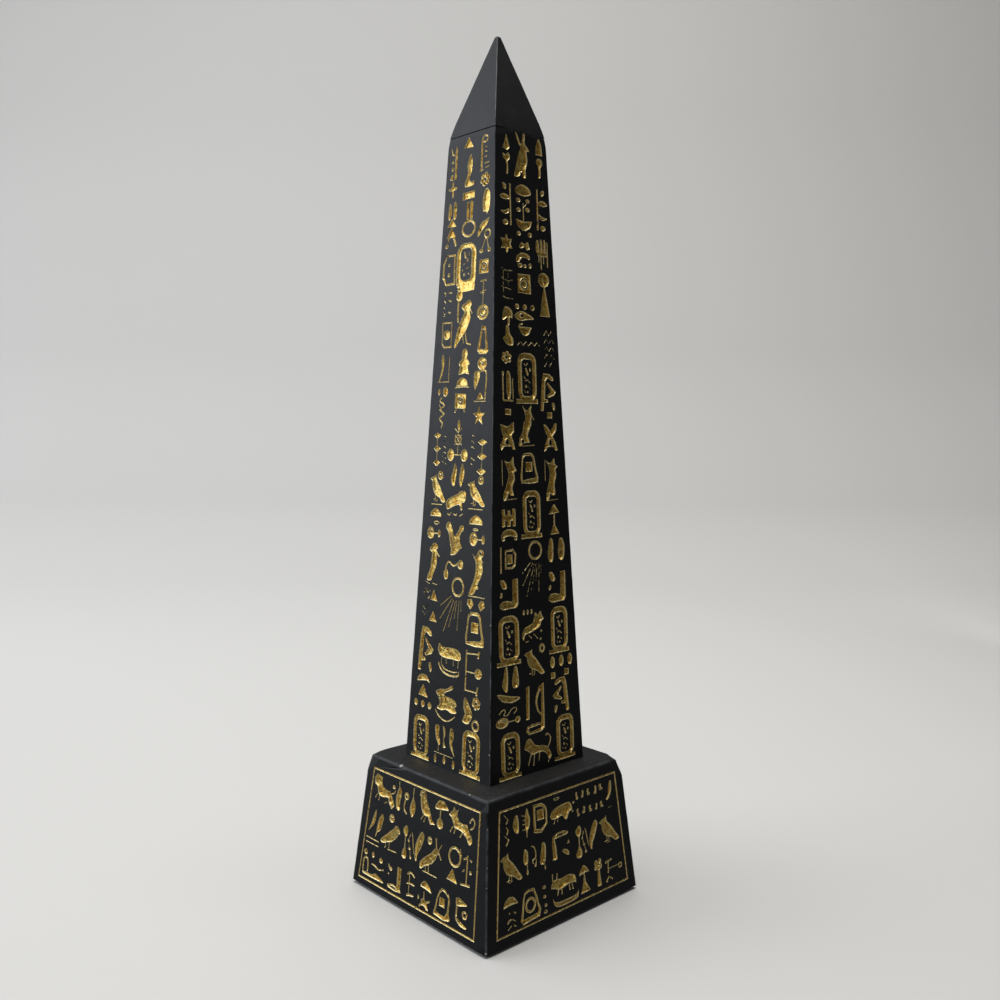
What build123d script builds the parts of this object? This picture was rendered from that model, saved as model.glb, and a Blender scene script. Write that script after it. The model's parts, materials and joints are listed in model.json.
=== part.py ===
"""Desk obelisk: a cast black shaft under a smooth pyramidion, standing on a battered pedestal.

Signs and border lines are sunk in the four faces, and thin gilding lies on the floor of each
recess. The foot of the pedestal is covered with felt. All sizes are in millimetres, +Z is up,
and the origin is the middle of the felt, where the obelisk rests.
"""

import os
from math import atan, cos, degrees, hypot, pi, sin

from build123d import *

# ---------------------------------------------------------------- driving dimensions
FELT_THICKNESS = 1.0
FELT_INSET = 1.0

PEDESTAL_HEIGHT = 41.0
PEDESTAL_FOOT_WIDTH = 63.6
PEDESTAL_TOP_WIDTH = 55.6
PEDESTAL_EDGE_RADIUS = 0.7

SHAFT_HEIGHT = 188.5
SHAFT_FOOT_WIDTH = 39.4
SHAFT_TOP_WIDTH = 20.5
SHAFT_EDGE_CHAMFER = 0.4

PYRAMIDION_HEIGHT = 29.5
TIP_WIDTH = 1.2
PYRAMIDION_EDGE_CHAMFER = 0.3
SCORE_CHAMFER = 0.3

SIGN_DEPTH = 0.6
GILDING_THICKNESS = 0.25
COLUMN_WIDTH = 0.24
COLUMN_PLACES = {"left": -0.32, "middle": 0, "right": 0.31}

BORDER_LINE_WIDTH = 0.6
BORDER_SIDE_MARGIN = 3.6
BORDER_TOP_MARGIN = 3.8
BORDER_FOOT_MARGIN = 3.4

# ---------------------------------------------------------------- worked-out places
PEDESTAL_FOOT_Z = FELT_THICKNESS
SHAFT_FOOT_Z = PEDESTAL_FOOT_Z + PEDESTAL_HEIGHT
PYRAMIDION_FOOT_Z = SHAFT_FOOT_Z + SHAFT_HEIGHT

# The opposite sides carry the same signs.
SIDES = {"front": 0, "right": 90, "back": 180, "left": 270}
SIGNS_LIKE = {"front": "front", "right": "right", "back": "front", "left": "right"}


# ---------------------------------------------------------------- battered blocks
def lean(foot_width, top_width, height):
    """Angle of a battered side from upright, in degrees."""
    return degrees(atan((foot_width - top_width) / 2 / height))


def slope_length(foot_width, top_width, height):
    """Length of a battered face, measured up its slope."""
    return hypot(height, (foot_width - top_width) / 2)


def face_plane(side, foot_width, top_width, height, foot_z):
    """Plane on one battered face: X along its foot, Y up its slope and Z out of it."""
    front = Plane(
        origin=(0, -foot_width / 2, foot_z),
        x_dir=(1, 0, 0),
        z_dir=(0, -height, (foot_width - top_width) / 2),
    )
    return Plane(Location((0, 0, 0), (0, 0, SIDES[side])) * front.location)


SHAFT = (SHAFT_FOOT_WIDTH, SHAFT_TOP_WIDTH, SHAFT_HEIGHT)
PEDESTAL = (PEDESTAL_FOOT_WIDTH, PEDESTAL_TOP_WIDTH, PEDESTAL_HEIGHT)
shaft_planes = {side: face_plane(side, *SHAFT, SHAFT_FOOT_Z) for side in SIDES}
pedestal_planes = {side: face_plane(side, *PEDESTAL, PEDESTAL_FOOT_Z) for side in SIDES}


# ---------------------------------------------------------------- signs
# Each sign is a flat sketch about its own middle, drawn to the width and height it is given.
# A graver leaves short straight cuts, so the round signs are faceted too.
def outline(width, height, *corners):
    """Closed outline through corners given as shares of the width and height."""
    with BuildSketch() as sign:
        Polygon(*[(x * width, y * height) for x, y in corners], align=None)
    return sign.sketch


def hollow(shape, width, height, line):
    """Shape cut as a line of even width, with its own smaller self left standing inside."""
    with BuildSketch() as sign:
        add(shape(width, height))
        add(shape(width - 2 * line, height - 2 * line), mode=Mode.SUBTRACT)
    return sign.sketch


def bar(width, height):
    return outline(width, height, (-0.5, -0.5), (0.5, -0.5), (0.5, 0.5), (-0.5, 0.5))


def hill(width, height):
    return outline(width, height, (-0.5, -0.5), (0.5, -0.5), (0, 0.5))


def kite(width, height):
    return outline(width, height, (0, -0.5), (0.5, 0), (0, 0.5), (-0.5, 0))


def disc(width, height, sides=8):
    turns = [2 * pi * (side + 0.5) / sides for side in range(sides)]
    return outline(width, height, *[(0.52 * cos(turn), 0.52 * sin(turn)) for turn in turns])


def ring(width, height):
    return hollow(disc, width, height, 0.22 * min(width, height))


def star(width, height, points=5):
    tips = [(0.5 if step % 2 == 0 else 0.21, pi / 2 + step * pi / points) for step in range(2 * points)]
    return outline(width, height, *[(reach * cos(turn), reach * sin(turn)) for reach, turn in tips])


def loaf(width, height):
    """Round-topped loaf on a flat base."""
    return outline(
        width, height, (-0.5, -0.5), (0.5, -0.5), (0.42, 0.12), (0.18, 0.5), (-0.18, 0.5), (-0.42, 0.12)
    )


def bowl(width, height):
    """Loaf upside down: a bowl, open upwards."""
    with BuildSketch() as sign:
        add(loaf(width, height).rotate(Axis.Z, 180))
    return sign.sketch


def reed(width, height):
    """Reed leaf: a straight rib and a bowed edge that meet in points."""
    return outline(width, height, (-0.5, -0.5), (0.4, -0.1), (0.5, 0.2), (0, 0.5))


def two_reeds(width, height):
    with BuildSketch() as sign:
        with Locations((-width / 4, 0), (width / 4, 0)):
            add(reed(width * 0.42, height))
    return sign.sketch


def staff(width, height):
    """Knob-headed staff."""
    knob = min(width, height / 3)
    with BuildSketch() as sign:
        with Locations((0, (height - knob) / 2)):
            add(disc(knob, knob, sides=6))
        with Locations((0, -knob / 4)):
            Rectangle(knob / 3, height - knob / 2)
    return sign.sketch


def bell(width, height):
    """Bell-shaped outline with sloping shoulders."""
    return outline(
        width, height, (-0.5, -0.5), (0.5, -0.5), (0.34, 0.28), (0.15, 0.5), (-0.15, 0.5), (-0.34, 0.28)
    )


def shrine(width, height):
    """Bell-shaped frame round a small block."""
    with BuildSketch() as sign:
        add(hollow(bell, width, height, 0.18 * width))
        Rectangle(0.24 * width, 0.24 * height)
    return sign.sketch


def cartouche(width, height):
    """Upright rope ring with cut-off corners, tied to a bar across its foot."""
    rope = 0.15 * width
    with BuildSketch() as sign:
        with Locations((0, rope / 4)):
            add(hollow(disc, 0.9 * width, height - rope / 2, rope))
        with Locations((0, (rope - height) / 2)):
            Rectangle(width, rope)
    return sign.sketch


# ---------------------------------------------------------------- layout
# A face is ruled into rows from its top edge down, and each sign fills the rows from its first
# number to its second. Its third number is its share of the column's width.
SHAFT_ROWS = 190
PEDESTAL_ROWS = 42

FRONT_SHAFT_SIGNS = {
    "left": [
        (staff, 3, 13, 0.6), (star, 14, 19, 0.6), (hill, 25, 28, 0.5), (ring, 35, 44, 0.8),
        (shrine, 55, 63, 0.7), (reed, 65, 74, 0.5), (kite, 88, 98, 0.3), (loaf, 111, 114, 0.6),
        (staff, 122, 134, 0.5), (bowl, 136, 139, 0.6), (reed, 148, 161, 0.7),
        (hill, 163, 169, 0.6), (cartouche, 175, 188.5, 0.9),
    ],
    "middle": [
        (hill, 2, 5, 0.6), (bar, 18, 22, 0.8), (bowl, 26, 31, 0.8), (cartouche, 33, 47, 1),
        (disc, 50, 54, 0.6), (loaf, 72, 75, 0.6), (bell, 77, 82, 0.8), (staff, 84, 96, 0.6),
        (two_reeds, 98, 104, 0.7), (bar, 112.5, 113.5, 0.9), (ring, 131, 137, 0.6),
        (bowl, 154, 158, 0.8), (bowl, 170, 174, 0.8), (two_reeds, 176, 188, 0.8),
    ],
    "right": [
        (staff, 3, 13, 0.6), (star, 14, 18, 0.6), (reed, 19, 26, 0.5), (bar, 39, 43, 0.6),
        (staff, 45, 53, 0.5), (cartouche, 57, 65, 0.6), (bell, 70, 79, 0.6), (kite, 89, 103, 0.3),
        (loaf, 112, 115, 0.6), (staff, 122, 135, 0.5), (shrine, 140, 150, 0.8),
        (staff, 152, 164, 0.5), (cartouche, 175, 188.5, 0.9),
    ],
}
RIGHT_SHAFT_SIGNS = {
    "left": [
        (hill, 2, 6, 0.5), (loaf, 8, 13, 0.6), (bar, 16, 28, 0.3), (star, 31, 36, 0.7),
        (two_reeds, 70, 79, 0.8), (kite, 85, 93, 0.7), (staff, 95, 107, 0.5), (bar, 110, 114, 0.7),
        (disc, 121, 128, 0.6), (reed, 130, 139, 0.5), (cartouche, 141, 155, 0.8),
        (reed, 157, 166, 0.6), (cartouche, 175, 188.5, 0.9),
    ],
    "middle": [
        (reed, 2, 14, 0.7), (loaf, 16, 20, 0.8), (bowl, 26, 31, 0.8), (loaf, 36, 40, 0.8),
        (bar, 42, 47, 0.7), (bowl, 53, 59, 0.8), (cartouche, 65, 79, 0.9), (staff, 80, 92, 0.5),
        (shrine, 94, 103, 0.8), (cartouche, 105, 119, 0.9), (bar, 148, 149, 0.8),
        (reed, 152, 160, 0.5), (disc, 164, 176, 0.5), (loaf, 179, 187, 0.8),
    ],
    "right": [
        (bell, 2, 7, 0.4), (loaf, 8, 13, 0.5), (bar, 17, 29, 0.3), (star, 32, 40, 0.7),
        (hill, 46, 54, 0.5), (reed, 71, 81, 0.6), (kite, 86, 94, 0.7), (staff, 95, 109, 0.5),
        (hill, 110, 119, 0.4), (two_reeds, 121, 127, 0.7), (reed, 131, 140, 0.5),
        (cartouche, 141, 155, 0.8), (reed, 163, 173, 0.6), (cartouche, 175, 188.5, 0.9),
    ],
}
SHAFT_SIGNS = {"front": FRONT_SHAFT_SIGNS, "right": RIGHT_SHAFT_SIGNS}

# On the pedestal a row of signs runs across the face, and each sign says how far along it lies.
PEDESTAL_SIGNS = {
    "front": [
        (loaf, 8, 14, -16), (reed, 7, 14, -9), (disc, 8, 14, 2), (star, 8, 14, 16),
        (two_reeds, 17, 24, -15), (staff, 17, 25, 0), (ring, 17, 22, 9), (staff, 17, 25, 16),
        (ring, 28, 35, -14), (bar, 28, 35, -4), (shrine, 28, 36, 7), (hill, 28, 35, 15),
    ],
    "right": [
        (reed, 7, 14, -15), (bar, 7, 14, -8), (ring, 8, 14, 0), (loaf, 8, 14, 10),
        (loaf, 18, 24, -15), (reed, 17, 25, -7), (staff, 17, 25, 3), (two_reeds, 17, 24, 13),
        (bell, 28, 35, -14), (shrine, 28, 36, -5), (bowl, 30, 35, 6), (staff, 28, 36, 16),
    ],
}


def shaft_column(signs, column):
    """Sketch of one column of signs, in the plane of a shaft face."""
    length = slope_length(*SHAFT)
    row = length / SHAFT_ROWS
    with BuildSketch() as sketch:
        for shape, first, last, share in signs:
            middle = length - (first + last) / 2 * row
            face_width = SHAFT_FOOT_WIDTH - (SHAFT_FOOT_WIDTH - SHAFT_TOP_WIDTH) * middle / length
            with Locations((COLUMN_PLACES[column] * face_width, middle)):
                add(shape(share * COLUMN_WIDTH * face_width, (last - first) * row))
    return sketch.sketch


def pedestal_rows(signs):
    """Sketch of a pedestal face's signs, in the plane of that face."""
    length = slope_length(*PEDESTAL)
    row = length / PEDESTAL_ROWS
    with BuildSketch() as sketch:
        for shape, first, last, place in signs:
            height = (last - first) * row
            with Locations((place * PEDESTAL_FOOT_WIDTH / 64, length - (first + last) / 2 * row)):
                add(shape(0.75 * height, height))
    return sketch.sketch


def border_line():
    """Fine frame round a pedestal face, its sides as battered as the face's own."""
    length = slope_length(*PEDESTAL)
    foot = PEDESTAL_FOOT_WIDTH / 2 - BORDER_SIDE_MARGIN
    slant = (PEDESTAL_FOOT_WIDTH - PEDESTAL_TOP_WIDTH) / 2 / length
    low, high = BORDER_FOOT_MARGIN, length - BORDER_TOP_MARGIN
    with BuildSketch() as sketch:
        Polygon(
            (-foot + slant * low, low),
            (foot - slant * low, low),
            (foot - slant * high, high),
            (-foot + slant * high, high),
            align=None,
        )
        offset(amount=-BORDER_LINE_WIDTH, kind=Kind.INTERSECTION, mode=Mode.SUBTRACT)
    return sketch.sketch


# ---------------------------------------------------------------- felt pad
with BuildPart() as felt_pad:
    with BuildSketch():
        Rectangle(PEDESTAL_FOOT_WIDTH - 2 * FELT_INSET, PEDESTAL_FOOT_WIDTH - 2 * FELT_INSET)
    extrude(amount=FELT_THICKNESS)

# ---------------------------------------------------------------- pedestal
with BuildPart() as pedestal:
    with BuildSketch(Plane.XY.offset(PEDESTAL_FOOT_Z)):
        Rectangle(PEDESTAL_FOOT_WIDTH, PEDESTAL_FOOT_WIDTH)
    extrude(amount=PEDESTAL_HEIGHT, taper=lean(*PEDESTAL))
    foot_edges = pedestal.edges().group_by(Axis.Z)[0]
    fillet(pedestal.edges() - foot_edges, radius=PEDESTAL_EDGE_RADIUS)
    for side, plane in pedestal_planes.items():
        with BuildSketch(plane):
            add(border_line())
            add(pedestal_rows(PEDESTAL_SIGNS[SIGNS_LIKE[side]]))
        extrude(amount=-SIGN_DEPTH, mode=Mode.SUBTRACT)

# ---------------------------------------------------------------- shaft
with BuildPart() as shaft:
    with BuildSketch(Plane.XY.offset(SHAFT_FOOT_Z)):
        Rectangle(SHAFT_FOOT_WIDTH, SHAFT_FOOT_WIDTH)
    extrude(amount=SHAFT_HEIGHT, taper=lean(*SHAFT))
    upright_edges = (
        shaft.edges() - shaft.edges().group_by(Axis.Z)[0] - shaft.edges().group_by(Axis.Z)[-1]
    )
    chamfer(upright_edges, length=SHAFT_EDGE_CHAMFER)
    chamfer(shaft.faces().sort_by(Axis.Z)[-1].edges(), length=SCORE_CHAMFER)
    for side, plane in shaft_planes.items():
        for column, signs in SHAFT_SIGNS[SIGNS_LIKE[side]].items():
            with BuildSketch(plane):
                add(shaft_column(signs, column))
            extrude(amount=-SIGN_DEPTH, mode=Mode.SUBTRACT)

# ---------------------------------------------------------------- pyramidion
with BuildPart() as pyramidion:
    with BuildSketch(Plane.XY.offset(PYRAMIDION_FOOT_Z)):
        Rectangle(SHAFT_TOP_WIDTH, SHAFT_TOP_WIDTH)
    extrude(amount=PYRAMIDION_HEIGHT, taper=lean(SHAFT_TOP_WIDTH, TIP_WIDTH, PYRAMIDION_HEIGHT))
    foot_edges = pyramidion.edges().group_by(Axis.Z)[0]
    tip_edges = pyramidion.edges().group_by(Axis.Z)[-1]
    chamfer(pyramidion.edges() - foot_edges - tip_edges, length=PYRAMIDION_EDGE_CHAMFER)
    chamfer(pyramidion.faces().sort_by(Axis.Z)[0].edges(), length=SCORE_CHAMFER)

for name, body in {
    "felt_pad": felt_pad, "pedestal": pedestal, "shaft": shaft, "pyramidion": pyramidion
}.items():
    body.part.label = name

# ---------------------------------------------------------------- gilding
gilding = {}
for side, plane in pedestal_planes.items():
    floor = plane.offset(-SIGN_DEPTH)
    with BuildPart() as border:
        with BuildSketch(floor):
            add(border_line())
        extrude(amount=GILDING_THICKNESS)
    gilding[f"{side}_border"] = border
    with BuildPart() as pedestal_signs:
        with BuildSketch(floor):
            add(pedestal_rows(PEDESTAL_SIGNS[SIGNS_LIKE[side]]))
        extrude(amount=GILDING_THICKNESS)
    gilding[f"{side}_pedestal_signs"] = pedestal_signs

for side, plane in shaft_planes.items():
    floor = plane.offset(-SIGN_DEPTH)
    for column, signs in SHAFT_SIGNS[SIGNS_LIKE[side]].items():
        with BuildPart() as column_signs:
            with BuildSketch(floor):
                add(shaft_column(signs, column))
            extrude(amount=GILDING_THICKNESS)
        gilding[f"{side}_{column}_signs"] = column_signs

# ---------------------------------------------------------------- export
os.makedirs("parts", exist_ok=True)
export_step(felt_pad.part, "parts/felt_pad.step")
export_step(pedestal.part, "parts/pedestal.step")
export_step(shaft.part, "parts/shaft.step")
export_step(pyramidion.part, "parts/pyramidion.step")
for name, inlay in gilding.items():
    inlay.part.label = name
    export_step(inlay.part, f"parts/{name}.step")
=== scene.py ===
# %% [markdown]
# # A desk obelisk in Blender
# The real object is a souvenir about a hand and a half tall: black resin cast in one mould, with
# rows of signs sunk in its four faces and picked out in gold paint. The CAD model gives every
# size. This lesson adds what the eye sees: carved signs, soft cast edges, worn gold and felt.

# %% Load the frame
import json
import math

import bmesh
import bpy
from mathutils import Matrix, Vector, noise
from mathutils.bvhtree import BVHTree
from mathutils.geometry import delaunay_2d_cdt

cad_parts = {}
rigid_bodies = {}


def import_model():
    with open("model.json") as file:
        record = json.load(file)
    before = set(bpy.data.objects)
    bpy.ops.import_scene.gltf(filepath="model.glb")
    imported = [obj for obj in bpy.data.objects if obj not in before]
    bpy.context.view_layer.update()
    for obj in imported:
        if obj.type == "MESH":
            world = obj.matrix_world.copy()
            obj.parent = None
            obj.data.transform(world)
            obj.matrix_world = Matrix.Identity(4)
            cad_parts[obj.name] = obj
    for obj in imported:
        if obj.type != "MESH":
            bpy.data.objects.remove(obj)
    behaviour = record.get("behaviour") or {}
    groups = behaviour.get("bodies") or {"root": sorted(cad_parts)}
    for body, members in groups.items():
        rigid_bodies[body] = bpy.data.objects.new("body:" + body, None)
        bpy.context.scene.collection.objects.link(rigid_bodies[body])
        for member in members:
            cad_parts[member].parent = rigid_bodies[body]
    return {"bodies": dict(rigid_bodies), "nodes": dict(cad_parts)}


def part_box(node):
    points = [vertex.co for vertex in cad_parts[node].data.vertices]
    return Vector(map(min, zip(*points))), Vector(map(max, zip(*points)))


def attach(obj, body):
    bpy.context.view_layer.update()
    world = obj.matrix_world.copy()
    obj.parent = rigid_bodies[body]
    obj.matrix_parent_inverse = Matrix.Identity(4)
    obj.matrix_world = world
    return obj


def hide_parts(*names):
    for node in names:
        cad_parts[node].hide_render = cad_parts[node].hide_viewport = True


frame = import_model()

for leftover in set(bpy.data.objects) - set(frame["nodes"].values()) - set(frame["bodies"].values()):
    bpy.data.objects.remove(leftover)
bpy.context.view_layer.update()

# %% [markdown]
# ## Sizes
# Lengths below are in millimetres, because that is how a maker thinks of a thing this small, and
# one value turns them to Blender's metres. Heights, foot widths and the lean of the faces are read
# from the CAD nodes, so the carved bodies match them.

# %% Read the sizes of the three castings
MM = 0.001
FRONTWARD = -0.8


def height_range(node):
    """Lowest and highest Z of a CAD node, in millimetres."""
    low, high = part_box(node)
    return low[2] / MM, high[2] / MM


def foot_width_of(node):
    low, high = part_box(node)
    return (high[0] - low[0]) / MM


def lean_of(node):
    """How far a CAD node's front face leans in for each millimetre up."""
    faces = [face for face in frame["nodes"][node].data.polygons if face.normal.y < FRONTWARD]
    widest = max(faces, key=lambda face: face.area)
    return -widest.normal.z / widest.normal.y


def leaning_block(node, foot_width):
    """Foot height, foot width, top height and top width of a block with leaning faces."""
    foot, top = height_range(node)
    return foot, foot_width, top, foot_width - 2 * lean_of(node) * (top - foot)


PEDESTAL = leaning_block("pedestal", foot_width_of("pedestal"))
SHAFT = leaning_block("shaft", foot_width_of("shaft"))
PYRAMIDION = leaning_block("pyramidion", SHAFT[3])
for name, sizes in {"pedestal": PEDESTAL, "shaft": SHAFT, "pyramidion": PYRAMIDION}.items():
    print(name, [round(size, 2) for size in sizes])

# %% [markdown]
# ## Hand-drawn signs
# Every sign was cut by hand in the pattern for the mould, so no two edges are quite straight. Each
# is drawn here on a grid ten wide and ten high, with a few pens: `fill` is a straight-sided
# shape, `leaf` a shape with a flowing edge (a point given twice makes a corner), `dot` an oval,
# `round` a box with round corners, `line` and `bend` are strokes, `ring` is an oval line, and a
# few more draw stars, petals, ticks and zigzags. A minus sign leaves a shape standing. Modelling
# a hundred signs point by point in a mesh would take far more room than this text does.

# %% Read the drawings
signs = {}


def learn(text):
    """Adds drawings to the signs: a line for each, and what runs on is set in by four spaces."""
    lines = text.strip().replace("\n    ", " ").splitlines()
    signs.update(line.split(": ") for line in lines)
    print(len(lines), "signs drawn, such as", lines[0].split(":")[0])


print(len(signs), "signs before the first are drawn")


# %% [markdown]
# ## Beasts
# At three to fifteen millimetres tall, a beast is little more than a lively outline. So each body
# is one flowing edge, and its legs, tail or horns are separate strokes that run into it.

# %% Draw the beasts
learn("""
bull: leaf .6,6.2 .5,7.9 .9,9.8 1.8,9 2.7,8.3 4.6,8.7 6.8,8.9 8.9,8.2 9.8,6.4 9.7,4.2 8.6,3.5
    6.6,3.6 4.6,3.4 2.4,3.6 1.2,4.6; line .4 2.2,3.9 2,.4; line .4 3.8,3.8 4.2,.9;
    line .4 6.9,3.9 7,.6; line .4 8.9,3.9 8.8,.2
cow: leaf .1,4.4 .5,6 1.2,7.1 2.4,7.1 4.2,6.8 6.9,7.2 8.9,6.4 9.8,5 9.9,2.4 9.3,2.9 6.9,3.2 5,2.6
    3.2,2.4 1.4,3.6 .3,4; line .6 .8,7 .9,10; line .6 2.4,7 2.7,9.6; line .6 2.9,2.6 2.4,.4;
    line .6 4.1,2.5 4.2,.1; line .6 7.1,3 7.3,.6; line .6 8.2,3 8.6,.4
dog: leaf .2,6.7 1.4,8 2,9.4 2.6,8.6 3.4,8.7 4.1,9.9 3.5,8.3 3.5,7.1 4.1,5.8 5.3,5.4 6.5,5.5
    7.3,5.6 7.8,4.4 8.5,3.4 9.4,2.2 9.5,1.1 8.8,0 8.1,.4 7.3,1.5 6.5,2.3 5,3 2.7,3.2 2.1,4.3 1.4,5.5
    .9,6; line .5 2.1,3.4 1.1,1.5; line .55 3,3.1 2.6,1.4; line .55 5.7,2.6 5,1.1;
    bend .5 8.4,4.7 9.6,5.6 10,7.1 9.3,8.2 8.5,7.5; dot 8.3,6.9 .3,.4
earmark: leaf 0,6.8 3,9.4 6,9 10,6.2 6,5.2 3,4.6; -dot 4,7.2 .7,.8; bend .5 4.2,3.4 2.4,2.2 3.4,.4
hare: leaf .4,7.2 1.3,7.9 2.8,8.4 5,8.7 7.2,9.9 8,9.5 7.2,8.7 4.6,7.6 4.3,6.9 6.6,6.7 9,6.2 9.8,5.1
    9,4.2 9.9,3.2 7.8,2.7 5.4,3.2 3.1,2.7 1,3.1 2.2,4.3 1.9,5.7;
    bend .45 .4,2.5 2.2,1 4.9,.2 7.2,.8 9.3,2.1
hippo: leaf .1,6 .9,7.9 2.3,9 3.8,9.6 5.7,10 7.7,9.8 8.5,8.7 8.9,7 8.9,5 8.3,4.8 7.3,3.3 7.1,2.1
    6.3,.6 5.7,1.7 4.8,3.7 2.8,3.3 .9,3.3 .2,4.4; dot 9.6,8.7 .45,.7; dot 9.1,4.2 .4,.6;
    line .45 1.8,3.3 1.3,.6; line .45 2.9,3.3 2.8,1
jackal: leaf 2.1,8.8 3.6,8.3 4.7,8.8 6.1,9.7 7.9,9.9 9.3,9.4 8.9,8.5 7.9,8.2 9.4,7.1 8.3,7.5 9,5.8
    8.2,4.5 6.1,2.8 4.2,.9 .7,.3 1.5,1.7 3.3,3.4 4.4,5.8 3.9,7.5; dot 5.9,2.1 .7,.4;
    -dot 7.2,9.1 .5,.3; line .35 .4,.1 6.4,.2; line .35 7.4,.3 9.7,.1
lion: leaf 0,7.8 .65,9.3 1.5,10 2.6,9.6 3.6,9.4 3.7,8.2 3.9,7.1 4.7,6.1 6.5,5.6 7.6,5.8 8.3,4.7
    9.3,3 10,1.6 9.4,.9 8.7,.1 8,1.1 7.2,2 6.7,3.3 4.6,2.8 2.9,2.9 1.9,4 1.5,5.6 .5,6.3;
    line .5 1.9,3.3 1,1.6; line .55 2.9,3 2.6,1.1; line .55 5.4,1 6.5,1.8;
    bend .35 8.1,5.1 9.6,5.8 10,6.9; dot 9.3,7.8 .7,.7
lioness: leaf .9,5.5 2.4,6.8 4.2,7.8 6.4,8.9 7,9.7 9.4,9.8 9.9,8.2 9.4,5.8 8.2,5.5 8.5,3.2 7.7,2.9
    7,4.7 4.5,3.9 2.4,2.8 1.5,2.8 1.2,3.9; bend .35 1.8,1.2 2.7,.6 3.6,1.6;
    bend .35 4.5,1.2 5.8,.8 6.1,1.6; bend .35 7.3,.6 8,1 8.8,1.6
lionlow: leaf .1,6.3 .5,7.6 1.1,9 2.2,9.2 3,8.3 3.8,7 5.2,6.3 6.9,6 8.2,5.4 9.2,4.2 9.9,2.6 9.7,1.4
    8.9,1.3 8.3,2.8 7,3.9 5.2,4.1 3.8,3.9 2.6,4 1.9,4.9 1.2,5.5; line .5 2.5,4.3 1.3,1;
    line .5 3.7,4.2 3.2,.5; line .45 5.6,4.3 5.2,1.6; line .45 9.4,1.9 8.6,.3;
    bend .45 8.6,5 9.4,6.4 9.6,8 8.6,9.3 7.9,8.8
lionup: leaf .2,2 .5,3.8 1.6,5 3.4,5.6 5,6.4 5.5,8 6.2,9.6 7.2,8.7 8.5,9.9 9.1,8.5 9.9,7.2 8.7,6.3
    8.5,5.1 6.9,4.1 5.1,3.5 3.2,3 1.6,2.7 .8,1; dot 8.6,3.2 .5,.4; dot 8.3,.6 .5,.4;
    line .35 2.9,2.5 4.4,1.2; line .35 5.2,2.6 6.9,1; line .35 1.4,.3 3,.5
seth: leaf 1.8,9.8 2.9,9.4 4.8,7.5 5.5,8 6.1,9.7 7.1,10 7.5,9.4 7.3,7.8 8.9,7 9.8,6.2 8.4,6.2
    8.3,5.7 8.6,3.8 7.5,2.1 7.5,.4 5.9,.2 5.2,1.4 3.4,.2 .6,.2 1.3,1.7 2.5,3.8 3.7,5.7 4.6,6.6 2.9,8
""")

# %% [markdown]
# ## Birds
# The birds stand on thin legs, and some have a short line under their feet. One falcon is used
# five times, and no two of them look quite alike, because the grid stretches with its box.

# %% Draw the birds
learn("""
earbird: leaf 0,.9 .4,2.2 2,3.6 3.9,4.8 5.5,5.9 6.5,6.9 7.6,7.2 8.6,6.6 8,5.7 7.3,4.4 5.9,3.1
    4.3,2.2 2.4,1.5 1,.5; line .8 7.5,7.1 7,9.8; line .4 8.3,6.8 9.8,8.8; line .7 8.3,6.9 9.8,5;
    line .55 2.9,1.9 3.1,.5; line .55 4.3,2.2 4.5,.5; line .45 1.8,.25 8.4,.25
falcon: leaf 0,8.3 1.5,9 3.2,9.4 3.8,10 4,8.2 4.9,7.2 6.6,5.4 8.4,2.9 10,.8 9.6,.1 8.1,.1 6.3,1.5
    4.8,2.2 3.3,2.8 2,4.3 1.3,6.1 1.2,7.4; line .4 3.6,2.5 3.8,1.2 2.3,1;
    line .4 4.7,2.2 4.9,.5 3.3,.4
goose: leaf 7.8,9.7 9,9.5 9.9,8.4 10,7.1 9.5,7.3 8.8,6 7.3,4.5 5.7,3.2 3.6,2.5 1.5,1.6 .1,2 .5,3
    2.6,4.8 4.4,6.4 6.3,8 7.3,9.2; line .5 2.8,2.6 3.2,1.1 2.5,.3; line .5 4.7,3.2 4.9,.9;
    line .45 4.1,.3 8.8,.6
hawkman: leaf 2.1,8.5 3.9,9.6 5.8,9.9 7.3,9.6 7.7,8.7 6.7,8.5 7.6,7.8 9.2,6.9 8.1,7 7,7.4 7.3,5.8
    6.7,4.2 4.9,2.5 3.7,1.1 .7,1.1 1.2,2.2 2.8,3.9 3.3,5.8 3.7,7.5 2.4,8; line .3 0,.7 3,.2;
    line .3 4.6,.5 8,.3
heron: leaf 6.4,9.6 8.4,10 9.4,9 8.4,7.8 9,6 7,3.6 4,1.8 .8,-.2 0,.4 1.6,3.6 4,6.2 5.4,7.4 3.6,8.4
    4,9; line .5 8.4,8.2 10,7; line .6 6,3.4 7.4,.6 9.8,.2; line .5 4.8,2.4 5.6,.6
owl: leaf 0,8.2 .4,9.4 1.4,10 2.7,10 3.9,9.2 4.2,7.8 4.6,6.9 6,5.2 7,3.7 8.3,1.7 10,.7 8.4,.3
    7.4,.1 6.4,1 5.4,2.2 3.8,2.1 2.5,2.6 1.5,3.9 .8,5.8 .6,7.4; line .5 3.2,2.3 1.6,.4;
    line .5 4.7,2.2 3.4,0; -dot 1.7,8.7 .4,.35
wings: leaf .8,9.2 2.6,9.8 4.1,7.4 5,5.9 6.8,7.4 7.8,8.9 9.4,9.1 9.7,7.9 8.5,7.1 7.8,5.6 8,4.1
    9,2.9 8,2.3 6.1,.8 3.3,.3 3.6,1.7 2.6,4.4 2,6.5 .6,8; -line .2 3,6.6 4.8,2.6;
    -line .2 5.6,5 6.8,2.8
""")

# %% [markdown]
# ## People, limbs and hides
# The figures with ears or horns are seen from the side, most of them above a fine ground line.
# Legs, feet and tusks are cut in the same way, with an edge that swells and narrows. The
# stretched hides have straight edges, as if cut with a knife.

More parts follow.
